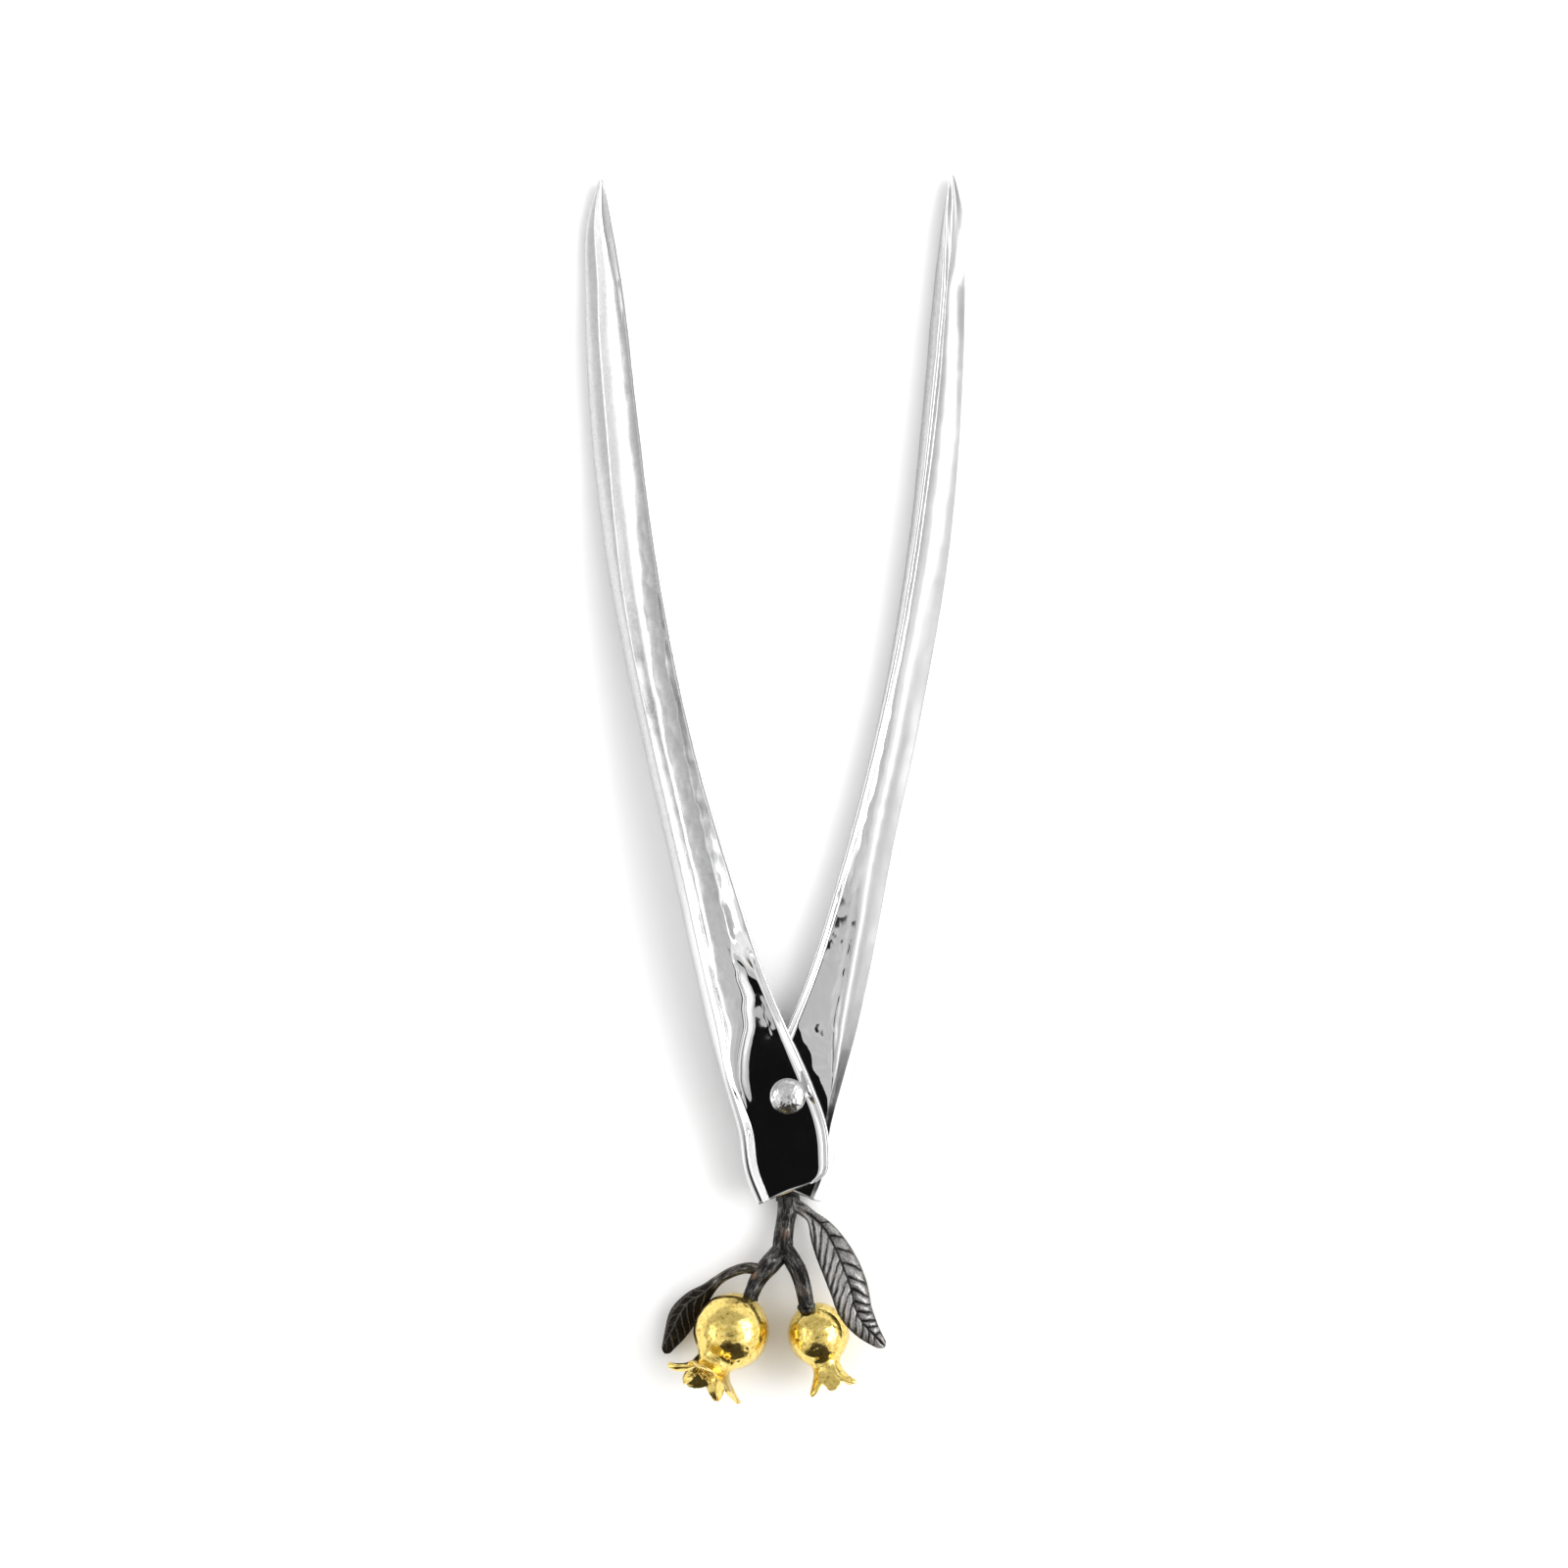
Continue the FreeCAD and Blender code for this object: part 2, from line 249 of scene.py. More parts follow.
def polished_steel(name, tone, rough_low, rough_high):
    material, nodes, shader, link = node_material(name, 1.0)
    haze = object_noise(nodes, link, HAZE_SCALE, 5.0)
    tint = ramp(nodes, link, haze, [(0.25, [c * 0.94 for c in tone]), (0.75, tone)])
    link(tint, shader.inputs["Base Color"])
    vary_roughness(nodes, link, shader, haze, rough_low, rough_high)
    fine_grain(nodes, link, shader)
    return material


def node_math(nodes, link, operation, *values):
    node = make_node(nodes, link, "Math", dict(enumerate(values)))
    node.operation = operation
    return node.outputs[0]


def read_layer(nodes, name):
    """A value stored on the mesh's vertices."""
    node = nodes.new("ShaderNodeAttribute")
    node.attribute_name = name
    return node.outputs["Fac"]


def mix_colour(nodes, link, share, first, second):
    """The first colour where share is 0 and the second where it is 1."""
    node = nodes.new("ShaderNodeMix")
    node.data_type = "RGBA"
    for number, value in ((0, share), (6, first), (7, second)):
        if isinstance(value, tuple):
            node.inputs[number].default_value = (*value, 1.0)
        else:
            link(value, node.inputs[number])
    return node.outputs[2]


def add_values(nodes, link, first, second, weight):
    """first + weight * (second - 0.5)."""
    scaled = node_math(nodes, link, "MULTIPLY_ADD", second, weight, -0.5 * weight)
    return node_math(nodes, link, "ADD", first, scaled)


def blackened_metal(name, stops, copper, rough_low, rough_high):
    """A blackened casting rubbed lighter where it is worn, with copper showing through."""
    material, nodes, shader, link = node_material(name, 0.85)
    scratches = object_noise(nodes, link, 2600.0, 4.0)
    wear = add_values(nodes, link, read_layer(nodes, "wear"), scratches, 0.55)
    tones = ramp(nodes, link, wear, stops)
    patch = ramp(nodes, link, object_noise(nodes, link, 260.0, 3.0),
                 [(0.60, (0, 0, 0)), (0.76, (1, 1, 1))])
    share = node_math(nodes, link, "MULTIPLY", patch, PATCH_COPPER)
    share = node_math(nodes, link, "MULTIPLY_ADD", read_layer(nodes, "rub"), RUB_COPPER, share)
    share = node_math(nodes, link, "MINIMUM", share, MOST_COPPER)
    link(mix_colour(nodes, link, share, tones, copper), shader.inputs["Base Color"])
    vary_roughness(nodes, link, shader, scratches, rough_low, rough_high)
    add_bump(nodes, link, shader, scratches, 0.06 * MM, 0.35)
    return material


def cast_gold(name, grain_scale, rough_low, rough_high):
    """Bright gold with a fine cast grain and brown in its deepest pits."""
    material, nodes, shader, link = node_material(name, 1.0)
    grain = object_noise(nodes, link, grain_scale, 6.0)
    tones = ramp(nodes, link, grain, [
        (0.28, (0.36, 0.21, 0.035)), (0.40, (0.80, 0.58, 0.15)),
        (0.60, (0.93, 0.73, 0.23)), (0.78, (1.0, 0.85, 0.42))])
    link(tones, shader.inputs["Base Color"])
    patches = object_noise(nodes, link, 210.0, 3.0)
    vary_roughness(nodes, link, shader, patches, rough_low, rough_high)
    add_bump(nodes, link, shader, grain, 0.05 * MM, 0.5)
    return material


def arm_steel():
    """Mirror-polished steel, satin or brushed where the stored values say so; satin also darkens
    it with painted shade.
    """
    material, nodes, shader, link = node_material("arm_steel", 1.0)
    haze = object_noise(nodes, link, HAZE_SCALE, 5.0)
    bright = ramp(nodes, link, haze, [(0.25, (0.80, 0.80, 0.805)), (0.75, (0.86, 0.86, 0.862))])
    # painted shade: where the satin layer is high, the steel's colour is mixed towards this darker
    # grey, standing in for dimmer reflections; its added roughness is real satin
    painted_shade_grey = ramp(nodes, link, object_noise(nodes, link, 1300.0, 5.0),
                [(0.30, (0.40, 0.40, 0.405)), (0.70, (0.56, 0.56, 0.565))])
    satin = read_layer(nodes, "satin")
    link(mix_colour(nodes, link, satin, bright, painted_shade_grey), shader.inputs["Base Color"])
    rough = node_math(nodes, link, "MULTIPLY_ADD", haze, HAZE_ROUGH, MIRROR_ROUGH)
    for layer, share in ((read_layer(nodes, "brushed"), BRUSHED_ROUGH), (satin, SATIN_ROUGH)):
        rough = node_math(nodes, link, "MULTIPLY_ADD", layer, share, rough)
    link(rough, shader.inputs["Roughness"])
    fine_grain(nodes, link, shader)
    return material


# ---- arms

SKEW = radians(0.7)  # both arms lie turned this far to the left
UPPER_Z, LOWER_Z = 4.65, 1.55  # undersides of the two heels
JOIN_Y, DROOP_END_Y = 20.0, 132.0
BACK_Z = 0.12
TIP_LIFT, TIP_LIFT_Y = 0.9, 150.0
HEEL_Y, HEEL_SLOPE = -17.8, 0.38
HEEL_SHEAR_REACH = 16.0  # the rows turn from the heel's slope to straight across in this
HEEL_R = 2.6
ARM_END_Y = 171.2
BORE_R = 1.85
RIM_W = 0.6  # flat top of the inner lip
LEAN_LIFT = 0.4

# y, then the x of the inner and of the outer side
OUTLINE = smooth_table([
    (-21, -7.9, 6), (-14, -7.9, 8.6), (-6.5, -7.5, 9.7), (3, -4.3, 12.4),
    (12, -0.4, 14.9), (20, 2.9, 16.7), (40, 9.4, 20.9), (68, 17, 27),
    (100, 22.9, 33), (130, 26.4, 35.9), (150, 28.5, 36.4), (163, 30.6, 35.8),
    (171.2, 32.2, 33.4),
])
# y, then the widths seen from above of the outer side, of the slope inside it and of the hammered
# valley, the heights of the lip and of the wall, the floor's thickness, how far the strip inside
# the lip is a tilted plane and not level, and how far the lip leans outwards
UPPER_PROFILE = smooth_table([
    (-21, 0.8, 0.9, 0.1, 0.9, 1.1, 1.6, 0, 0),
    (-14, 0.8, 1.1, 0.1, 0.9, 1.1, 1.6, 0, 0),
    (-6.5, 0.9, 1.3, 0.1, 0.9, 1.5, 1.6, 0, 0),
    (3, 1.1, 0.7, 0.8, 1, 2.4, 1.6, 0, 0),
    (12, 2.2, 2, 2.8, 1, 3.4, 1.6, 0, 0),
    (21.5, 2.2, 1.9, 4, 1.1, 3.8, 1.6, 0, 0),
    (28, 2.2, 2.2, 3.5, 1.6, 4, 1.6, 1, 0),
    (40, 2.2, 2.2, 3.3, 1.5, 4, 1.6, 1, 0),
    (67, 2.2, 2.4, 3.1, 1.1, 3.8, 1.5, 1, 0),
    (85, 2.3, 3.1, 2.9, 0.8, 3.7, 1.5, 1, 0),
    (104, 2.9, 4, 2.4, 0.5, 3.6, 1.5, 1, 0),
    (122, 3.3, 4.4, 1.8, 0.35, 3.3, 1.4, 1, 0),
    (140, 3, 3.8, 0.9, 0.3, 2.9, 1.3, 1, 0),
    (159, 2.3, 1.9, 0.5, 0.25, 1.8, 1, 1, 0),
    (171.2, 0.3, 0.4, 0.1, 0.2, 0.3, 0.5, 1, 0),
])
LOWER_PROFILE = smooth_table([
    (-21, 1.7, 0.5, 0.1, 0.9, 1.1, 1.6, 0, 0),
    (-14, 1.7, 0.6, 0.1, 0.9, 1.1, 1.6, 0, 0),
    (-6.5, 1.8, 0.9, 0.1, 0.9, 1.5, 1.6, 0, 0),
    (3, 2, 1.7, 0.8, 1, 2.4, 1.6, 0, 0),
    (12, 1.9, 3.6, 1.6, 1, 3.3, 1.6, 0, 0),
    (21, 1.8, 4.2, 1.6, 1.1, 3.8, 1.6, 0, 0.1),
    (30, 1.8, 4.4, 1.6, 1.2, 4, 1.6, 0.1, 0.2),
    (49, 2, 4.8, 1.2, 1.1, 4, 1.6, 0.5, 0.3),
    (67, 1.8, 4.8, 0.8, 1.2, 4, 1.5, 0.4, 0.4),
    (85, 1.8, 5.2, 0.4, 1.5, 3.9, 1.5, 0.2, 0.8),
    (104, 1.8, 5.2, 0.2, 1.9, 3.8, 1.5, 0.2, 1.2),
    (130, 1.8, 4, 0.2, 1.9, 3.4, 1.4, 0.3, 1.8),
    (150, 1.5, 3, 0.2, 1.5, 2.8, 1.3, 0.3, 1.8),
    (163, 1, 1.7, 0.2, 0.9, 1.6, 1, 0.3, 0.8),
    (171.2, 0.3, 0.3, 0.1, 0.2, 0.3, 0.5, 1, 0),
])
ROW_STEP = 0.30  # millimetres between rows of the mesh
RING = {"rim": 6, "strip": 34, "valley": 22, "slope": 22, "crest": 5, "side": 34, "under": 14,
        "back": 14}
RING_COUNT = sum(RING.values())
TIP_R = 2.0  # length over which the tip closes
VALLEY_TILT = 0.12  # rise of the valley towards the outer wall, per width
LIP_SLOPE_W = 0.9  # width of the lip's inner face
SHOULDER_W, SHOULDER_H = 1.7, 0.52  # the heel's plate rises this much beside the valley
HEEL_CREST_W = 0.9  # flat top of the wall round the heel
CREASE_WAVE = 0.45  # how far the valley's two edges wander
EDGE_R = 0.25  # rounding of the heel's cut edge
TIP_ROWS = 14
CREST_END_Y, CREST_FADE = -2.0, 12.0  # where the wide flat top of the wall ends


def back_z(y, base):
    """Height of an arm's back: level at the heel, down to the table, and up again to the tip."""
    share = ease((y - JOIN_Y) / (DROOP_END_Y - JOIN_Y))
    lift = TIP_LIFT * max(0.0, (y - TIP_LIFT_Y) / (ARM_END_Y - TIP_LIFT_Y)) ** 2
    return base + (BACK_Z - base) * share + lift


def arm_ring(width, heel, shoulder, side, slope, valley, lip, wall, thick, tilted, lean):
    """One cross-section as u, z from the arm's inner side: the trough first, then the outside."""
    size = min(1.0, width / 8.0)
    lip_z, wall_z = thick + lip + LEAN_LIFT * lean, thick + wall
    rim_0 = (0.22 + lean) * size
    rim_1 = rim_0 + RIM_W * size
    crest = width - side
    crest_in = crest - max(HEEL_CREST_W * heel, 0.15 * size)
    foot = crest_in - slope
    crease = max(foot - valley, rim_1 + 0.05)
    foot_z = thick + VALLEY_TILT * (foot - crease) * ease(wall - 1.5)
    strip = crease - rim_1
    u = np.linspace(0, 1, RING["strip"], endpoint=False)
    steep = np.clip(1 - u * strip / min(LIP_SLOPE_W, strip), 0, 1) ** 1.6
    strip_z = thick + (lip_z - thick) * ((1 - tilted) * steep + tilted * (1 - u) ** 1.15)
    beside = np.clip(1 - (1 - u) * strip / SHOULDER_W, 0, 1)
    strip_z = strip_z + shoulder * (1 - tilted) * beside**1.2 * ease(valley / 0.6 - 0.3)
    under_in, under_out = 1.0 * size, width - 1.3 * size
    parts = [
        bezier([(rim_0, lip_z - 0.02), (rim_0 + 0.2 * size, lip_z + 0.05),
                (rim_1 - 0.2 * size, lip_z + 0.05), (rim_1, lip_z)], RING["rim"]),
        np.column_stack([rim_1 + u * strip, strip_z]),
        bezier([(crease, thick), (crease * 0.67 + foot * 0.33, thick + 0.1 * (foot_z - thick)),
                (crease * 0.30 + foot * 0.70, thick + 0.45 * (foot_z - thick)), (foot, foot_z)],
               RING["valley"]),
        bezier([(foot, foot_z), (foot + (0.42 - 0.2 * heel) * slope,
                                 foot_z + (0.10 + 0.2 * heel) * (wall_z - foot_z)),
                (crest_in - 0.20 * slope, wall_z - 0.30 * (wall_z - foot_z)), (crest_in, wall_z)],
               RING["slope"]),
        bezier([(crest_in, wall_z), (crest_in * 0.67 + crest * 0.33, wall_z + 0.02 * heel),
                (crest_in * 0.33 + crest * 0.67, wall_z + 0.02 * heel), (crest, wall_z)],
               RING["crest"]),
        bezier([(crest, wall_z), (crest + 0.50 * side, wall_z - 0.42 * side),
                (width + 0.30 * side, 0.25 * wall_z), (under_out, 0.0)], RING["side"]),
        bezier([(under_out, 0.0), (under_out * 0.67 + under_in * 0.33, 0.0),
                (under_out * 0.33 + under_in * 0.67, 0.0), (under_in, 0.0)], RING["under"]),
        bezier([(under_in, 0.0), (0.1 * size, 0.06 * lip_z),
                (0.35 * rim_0, 0.70 * lip_z), (rim_0, lip_z - 0.02)], RING["back"]),
    ]
    ring = np.vstack(parts)
    for _ in range(2):
        ring = 0.5 * ring + 0.25 * (np.roll(ring, 1, axis=0) + np.roll(ring, -1, axis=0))
    return ring


def heel_round(y):
    """How far the heel's inner side has curved in, at each y."""
    corner = HEEL_Y + HEEL_SLOPE * 7.9
    t = min(max((corner + HEEL_R - y) / (HEEL_R * 1.15), 0.0), 1.0)
    return HEEL_R * 0.9 * (1 - sqrt(1 - t**2))


def wander(y, pace, lane, fine_pace, fine_lane):
    """A slow wandering along an arm with a quicker, smaller one on top."""
    slow = wave(y * pace, lane, 2.0)
    return slow + 0.5 * wave(y * fine_pace, fine_lane, 4.0)


def wandering(row, y):
    """The widths at y, with the edges of the valley wandering as they do under a hammer."""
    side, slope, valley, *rest = row
    share = CREASE_WAVE * ease(valley / 1.5) * ease((y - 2.0) / 6.0)
    slope_more = share * wander(y, 0.11, slope, 0.35, 0)
    valley_more = 1.3 * share * wander(y, 0.13, 7.0, 0.40, 9)
    return side, slope + slope_more, max(valley + valley_more, 0.1), *rest


def arm_mesh(arm):
    """The right-hand arm as vertices and faces, before its dents."""
    rows = list(np.arange(HEEL_Y, ARM_END_Y - TIP_R, ROW_STEP))
    rows += list(ARM_END_Y - TIP_R * (1 - np.sin(np.linspace(0, pi / 2, TIP_ROWS))))
    vertices = []
    for q in rows:
        turn = 1 - ease((q - HEEL_Y) / HEEL_SHEAR_REACH)
        inner, outer = OUTLINE(q)
        for _ in range(3):
            y_in = q - turn * HEEL_SLOPE * inner
            y_out = q - turn * HEEL_SLOPE * outer
            inner = OUTLINE(y_in)[0] + (heel_round(y_in) if q < 0 else 0.0)
            outer = OUTLINE(y_out)[1]
        width = outer - inner
        heel = (1 - ease((q - CREST_END_Y) / CREST_FADE)) * arm.crest_share
        ring = arm_ring(width, heel, arm.shoulder, *wandering(arm.profile(q), q))
        tip = max(0.0, (q - (ARM_END_Y - TIP_R)) / TIP_R)
        if tip > 0:
            middle = np.array([width / 2, 0.45 * ring[:, 1].max()])
            ring = middle + (ring - middle) * max(sqrt(1 - tip**2), 0.04)
        edge = q - HEEL_Y
        if edge < EDGE_R:
            middle = np.array([width / 2, 0.5 * arm.profile(q)[5]])
            inset = EDGE_R * (1 - sqrt(max(0.0, 1 - (1 - edge / EDGE_R) ** 2)))
            away = ring - middle
            reach = np.maximum(np.linalg.norm(away, axis=1), 0.5)
            ring = middle + away * (1 - 0.5 * inset / reach)[:, None]
        x = inner + ring[:, 0]
        y = q - turn * HEEL_SLOPE * x
        vertices += list(zip(x, y, back_z(q, arm.base) + ring[:, 1]))
    return vertices, ring_faces(len(rows), RING_COUNT)


def hammer_marks(place, across, along):
    """Overlapping round dents, from -0.5 in their middles to 1 on the ridges between them."""
    spot = Vector((place.x / across, place.y / along, place.z / across))
    nearest = noise.voronoi(spot)[0][0]
    return 1.5 * min(nearest, 1.0) ** 2 - 0.5


# each stray hammer mark on the upper heel's plate: x, y, half-length, half-width, depth
DINGS = [(4.5, 16.8, 1.1, 0.15, 0.020), (3.8, 14.4, 1.4, 0.15, 0.022),
         (3.0, 11.8, 1.0, 0.15, 0.020)]
DING_TURN = radians(20)
DING_REACH = 1.5  # how far a mark shows on either side of its edge
DINGS_END_Y = 26.0
# the lower plate rises towards its wall: a place on the line where it starts, which way it
# rises, by how much per millimetre, up to how far, and where the rise ends
RISE_X, RISE_Y = 1.8, 13.1
RISE_TURN = radians(21.2)
RISE = 0.085
RISE_REACH = 6.5
RISE_FADE, RISE_END_Y = 20.0, 56.0
BEYOND_Y, BEYOND_FADE = 22.0, 26.0  # from here on the steel loses its mirror polish
BRUSHED_BEYOND = 0.60

# an arm: the height of its underside, whether it is the mirror image of the right-hand shape,
# the rise of its plate beside the valley, how much of the wall's wide flat top it has at the
# heel, its dings and its rise, then how satin its outer side is and all of it beyond the heel,
# which also sets how much painted shade darkens the steel there, and how brushed its heel is
Arm = namedtuple("Arm", "name base mirrored profile shoulder crest_share dings rise satin_side "
                        "satin_beyond brushed_heel")
UPPER_ARM = Arm("upper_arm", UPPER_Z, True, UPPER_PROFILE, SHOULDER_H, 1.0, DINGS, 0.0, 0.75,
                0.50, 0.15)
LOWER_ARM = Arm("lower_arm", LOWER_Z, False, LOWER_PROFILE, 0.0, 0.2, [], RISE, 0.25, 0.0, 0.9)


def ding(place, x, y, length, width, depth):
    """A short step that lies along the lip, fading out on both sides of its edge."""
    dx, dy = place.x - x, place.y - y
    along = dy * cos(DING_TURN) + dx * sin(DING_TURN)
    across = dx * cos(DING_TURN) - dy * sin(DING_TURN)
    reach = (along / length) ** 2 + (across / DING_REACH) ** 2
    return -depth * tanh(across / width) * exp(-reach) if reach < 9 else 0.0


def plate_rise(place):
    """How far a point is past the line from which the lower plate rises."""
    past = (place.x - RISE_X) * cos(RISE_TURN) + (place.y - RISE_Y) * sin(RISE_TURN)
    past += 0.6 * noise.noise(place * 0.33) + 0.1 * noise.noise(place * 1.1)
    past = min(past, place.x - OUTLINE(place.y)[0] - LIP_SLOPE_W - RIM_W)
    return min(max(past, 0.0), RISE_REACH) * ease((RISE_END_Y - place.y) / RISE_FADE)


def arm_dents(arm):
    """The dents of an arm: strong in the valley, fainter beside it, none on the outer wall."""
    def height(place, normal):
        y = place.y
        side, slope = arm.profile(y)[:2]
        inward = OUTLINE(y)[1] - side - slope - place.x
        inside = ease((inward + 0.25 * slope) / (0.4 * slope + 0.3))
        upward = 0.35 + 0.65 * ease((normal.z + 0.1) / 0.5)
        heel = ease((y - 21.0) / 8.0)
        tip = ease((ARM_END_Y - 3 - y) / 14.0)
        strong = inside * upward * (0.10 + 0.90 * heel) * (0.3 + 0.7 * tip)
        marks = 0.055 * hammer_marks(place, 1.7, 3.0) + 0.030 * hammer_marks(place, 3.4, 5.5)
        soft = 0.05 * noise.noise(place * 0.16) + 0.012 * noise.noise(place * 0.5)
        struck = normal.z > 0.8 and y < DINGS_END_Y
        strike = sum(ding(place, *spot) for spot in arm.dings) if struck else 0.0
        if arm.rise and y < RISE_END_Y:
            strike += arm.rise * inside * ease(normal.z / 0.4) * plate_rise(place)
        return strong * marks + soft * heel * tip + strike
    return height


def satin_and_painted_shade_share(outer_side):
    """Round a ring, the share of satin and of painted shade: none inside the trough, more down the
    outer side, all of it underneath.
    """
    sizes = list(RING.values())
    inside = sum(sizes[:5])
    side = [outer_side * i / RING["side"] for i in range(RING["side"])]
    under = [1.0] * RING["under"]
    back = [1.0 - (i / RING["back"]) ** 6 for i in range(RING["back"])]
    return [0.0] * inside + side + under + back


def brushed_share(at_heel):
    """Round a ring: how brushed the steel is at the heel; the rim never takes a mirror polish."""
    share = {"rim": 0.5, "strip": 0.0, "valley": 0.0, "slope": at_heel, "crest": at_heel}
    return [share.get(part, max(at_heel, 0.4)) for part in RING for _ in range(RING[part])]


def build_arm(arm, material):
    vertices, faces = arm_mesh(arm)
    obj = new_object(arm.name, vertices, faces)
    rings = len(vertices) // RING_COUNT
    # the satin layer also carries painted shade: it darkens the steel's colour down the outer
    # side, under and behind the lip, and beyond the upper heel
    satin = np.array(satin_and_painted_shade_share(arm.satin_side) * rings)
    brushed = np.array(brushed_share(arm.brushed_heel) * rings)
    beyond = np.array([ease((v[1] - BEYOND_Y) / BEYOND_FADE) for v in vertices])
    set_layer(obj, "brushed", np.maximum(brushed, BRUSHED_BEYOND * beyond))
    set_layer(obj, "satin", np.maximum(satin, arm.satin_beyond * beyond))
    displace(obj, arm_dents(arm))
    flip = Matrix.Scale(-1, 4, (1, 0, 0)) if arm.mirrored else Matrix.Identity(4)
    obj.data.transform(Matrix.Rotation(SKEW, 4, "Z") @ flip)
    if arm.mirrored:
        obj.data.flip_normals()
    bpy.ops.mesh.primitive_cylinder_add(vertices=64, radius=BORE_R * MM, depth=0.04)
    cut_away(obj, bpy.context.object)
    finish_piece(obj, material, arm.name, [arm.name])


# ---- rivet

HEAD_R = 3.3
HEAD_SEAT = 1.65  # underside of the head above the upper arm's back
HEAD_EDGE = 0.55  # the widest place of the head above its underside
HEAD_STEPS, HEAD_START = 26, -0.35
FACET = 0.62
FACETS_Z = 6.0  # only the head is peened, above this height


def build_rivet(material):
    """A peened head of small facets, its shank, and the flush tail."""
    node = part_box("pivot_rivet")
    top = node[1][2] / MM
    seat = UPPER_Z + HEAD_SEAT
    wide = seat + HEAD_EDGE
    profile = [(0.0, 0.0), (2.7, 0.0), (2.7, 0.05), (1.8, 0.9), (1.8, seat), (2.9, seat)]
    for i in range(HEAD_STEPS + 1):
        angle = HEAD_START + (pi / 2 - HEAD_START) * i / HEAD_STEPS
        profile.append((HEAD_R * cos(angle), wide + (top - wide) * sin(angle)))
    profile[-1] = (0.0, profile[-1][1])
    obj = revolve("pivot_rivet", profile, 96)

    def peened(place, normal):
        if normal.z < 0.05 or place.z < FACETS_Z:
            return 0.0
        return 0.10 * hammer_marks(place, FACET, FACET) - 0.08

    displace(obj, peened)
    finish_piece(obj, material, "spray", ["pivot_rivet"])


def revolve(name, profile, count):
    """A profile of radius and height turned about +Z, closed where the radius is 0."""
    vertices, faces, rings = [], [], []
    for r, z in profile:
        turns = [2 * pi * i / count for i in range(count if r > 1e-6 else 1)]
        rings.append([len(vertices) + i for i in range(len(turns))])
        vertices += [(r * cos(turn), r * sin(turn), z) for turn in turns]
    for a, b in zip(rings, rings[1:]):
        for i in range(count):
            j = (i + 1) % count
            if len(a) == 1:
                faces.append((a[0], b[i], b[j]))
            elif len(b) == 1:
                faces.append((a[i], a[j], b[0]))
            else:
                faces.append((a[i], a[j], b[j], b[i]))
    return new_object(name, vertices, faces)


# ---- spray: shared shapes

def along_path(points, step):
    """Rows of a given path, its columns read smoothly every step along its length."""
    points = np.asarray(points, dtype=float)
    gaps = np.linalg.norm(np.diff(points[:, :3], axis=0), axis=1)
    lengths = np.concatenate([[0.0], np.cumsum(gaps)])
    read = smooth_table(np.column_stack([lengths, points]))
    places = np.linspace(0, lengths[-1], max(3, int(lengths[-1] / step) + 1))
    return places, np.array([read(s) for s in places])


def path_frames(centres):
    """Two directions square to a path at each of its points, carried along without twist."""
    ahead = np.gradient(centres, axis=0)
    ahead /= np.linalg.norm(ahead, axis=1)[:, None]
    side = np.cross(ahead[0], (0.0, 0.0, 1.0) if abs(ahead[0][2]) < 0.9 else (0.0, 1.0, 0.0))
    sides = []
    for direction in ahead:
        side = side - direction * np.dot(side, direction)
        side = side / np.linalg.norm(side)
        sides.append(side)
    sides = np.array(sides)
    return ahead, sides, np.cross(ahead, sides)


def tube(points, step, count):
    """A round tapering tube through points x, y, z, radius, as vertices and faces."""
    _, rows = along_path(points, step)
    centres, radii = rows[:, :3], rows[:, 3]
    _, side, up = path_frames(centres)
    vertices = []
    for centre, radius, a, b in zip(centres, radii, side, up):
        for i in range(count):
            angle = 2 * pi * i / count
            vertices.append(centre + radius * (cos(angle) * a + sin(angle) * b))
    return vertices, ring_faces(len(rows), count)


def merge(parts):
    """One list of vertices and one of faces from several."""
    vertices, faces = [], []
    for some_vertices, some_faces in parts:
        start = len(vertices)
        vertices += list(some_vertices)
        faces += [tuple(start + i for i in face) for face in some_faces]
    return vertices, faces


def fuse(obj, voxel, smooth_rounds):
    """Fuses the overlapping solids of an object into one skin."""
    remesh = obj.modifiers.new("fuse", "REMESH")
    remesh.mode = "VOXEL"
    remesh.voxel_size = voxel * MM
    relax = obj.modifiers.new("relax", "SMOOTH")
    relax.factor = 0.5
    relax.iterations = smooth_rounds
    apply_modifiers(obj)


# ---- branch

TRUNK = [(0.1, -19.1, 1.8, 1.8), (0, -21, 2.3, 1.7), (-0.5, -24, 3.4, 1.6),
         (-0.9, -27.5, 4.6, 1.75), (-0.8, -29.6, 5.2, 1.9)]
LARGE_TWIG = [(-0.6, -28.4, 4.8, 1.7), (-3.2, -31.1, 5.6, 1.75), (-5.4, -33.8, 6, 1.45),
              (-6.6, -36.4, 6, 1.25), (-7.3, -38.4, 6, 1.2)]
SMALL_TWIG = [(-0.9, -28.2, 4.8, 1.5), (1.2, -31, 6, 1.5), (2.5, -34, 7.2, 1.4),
              (3.2, -37, 7.9, 1.3), (3.6, -39.8, 8.2, 1.25)]
TANG_R, TANG_T = 5.2, 1.5  # flat eye of the branch under both arms
TANG_TAIL_W = 4.2
TANG_START_Y, TANG_END_Y = -3.0, -19.8
RUB = Vector((-6.3, -33.0, 6.6))  # where the black is rubbed through to copper
RUB_R = 1.3
BARK_DEPTH, BARK_BASE, BARK_MIDDLE = 0.13, 0.16, 0.55
BARK_Y = -18.2  # the bark begins here
FLAT_Y = -17.6  # the tang is flat above here


def plate(outline, low, high):
    """A flat plate as vertices and faces."""
    vertices = [(x, y, z) for z in (low, high) for x, y in outline]
    return vertices, ring_faces(2, len(outline))


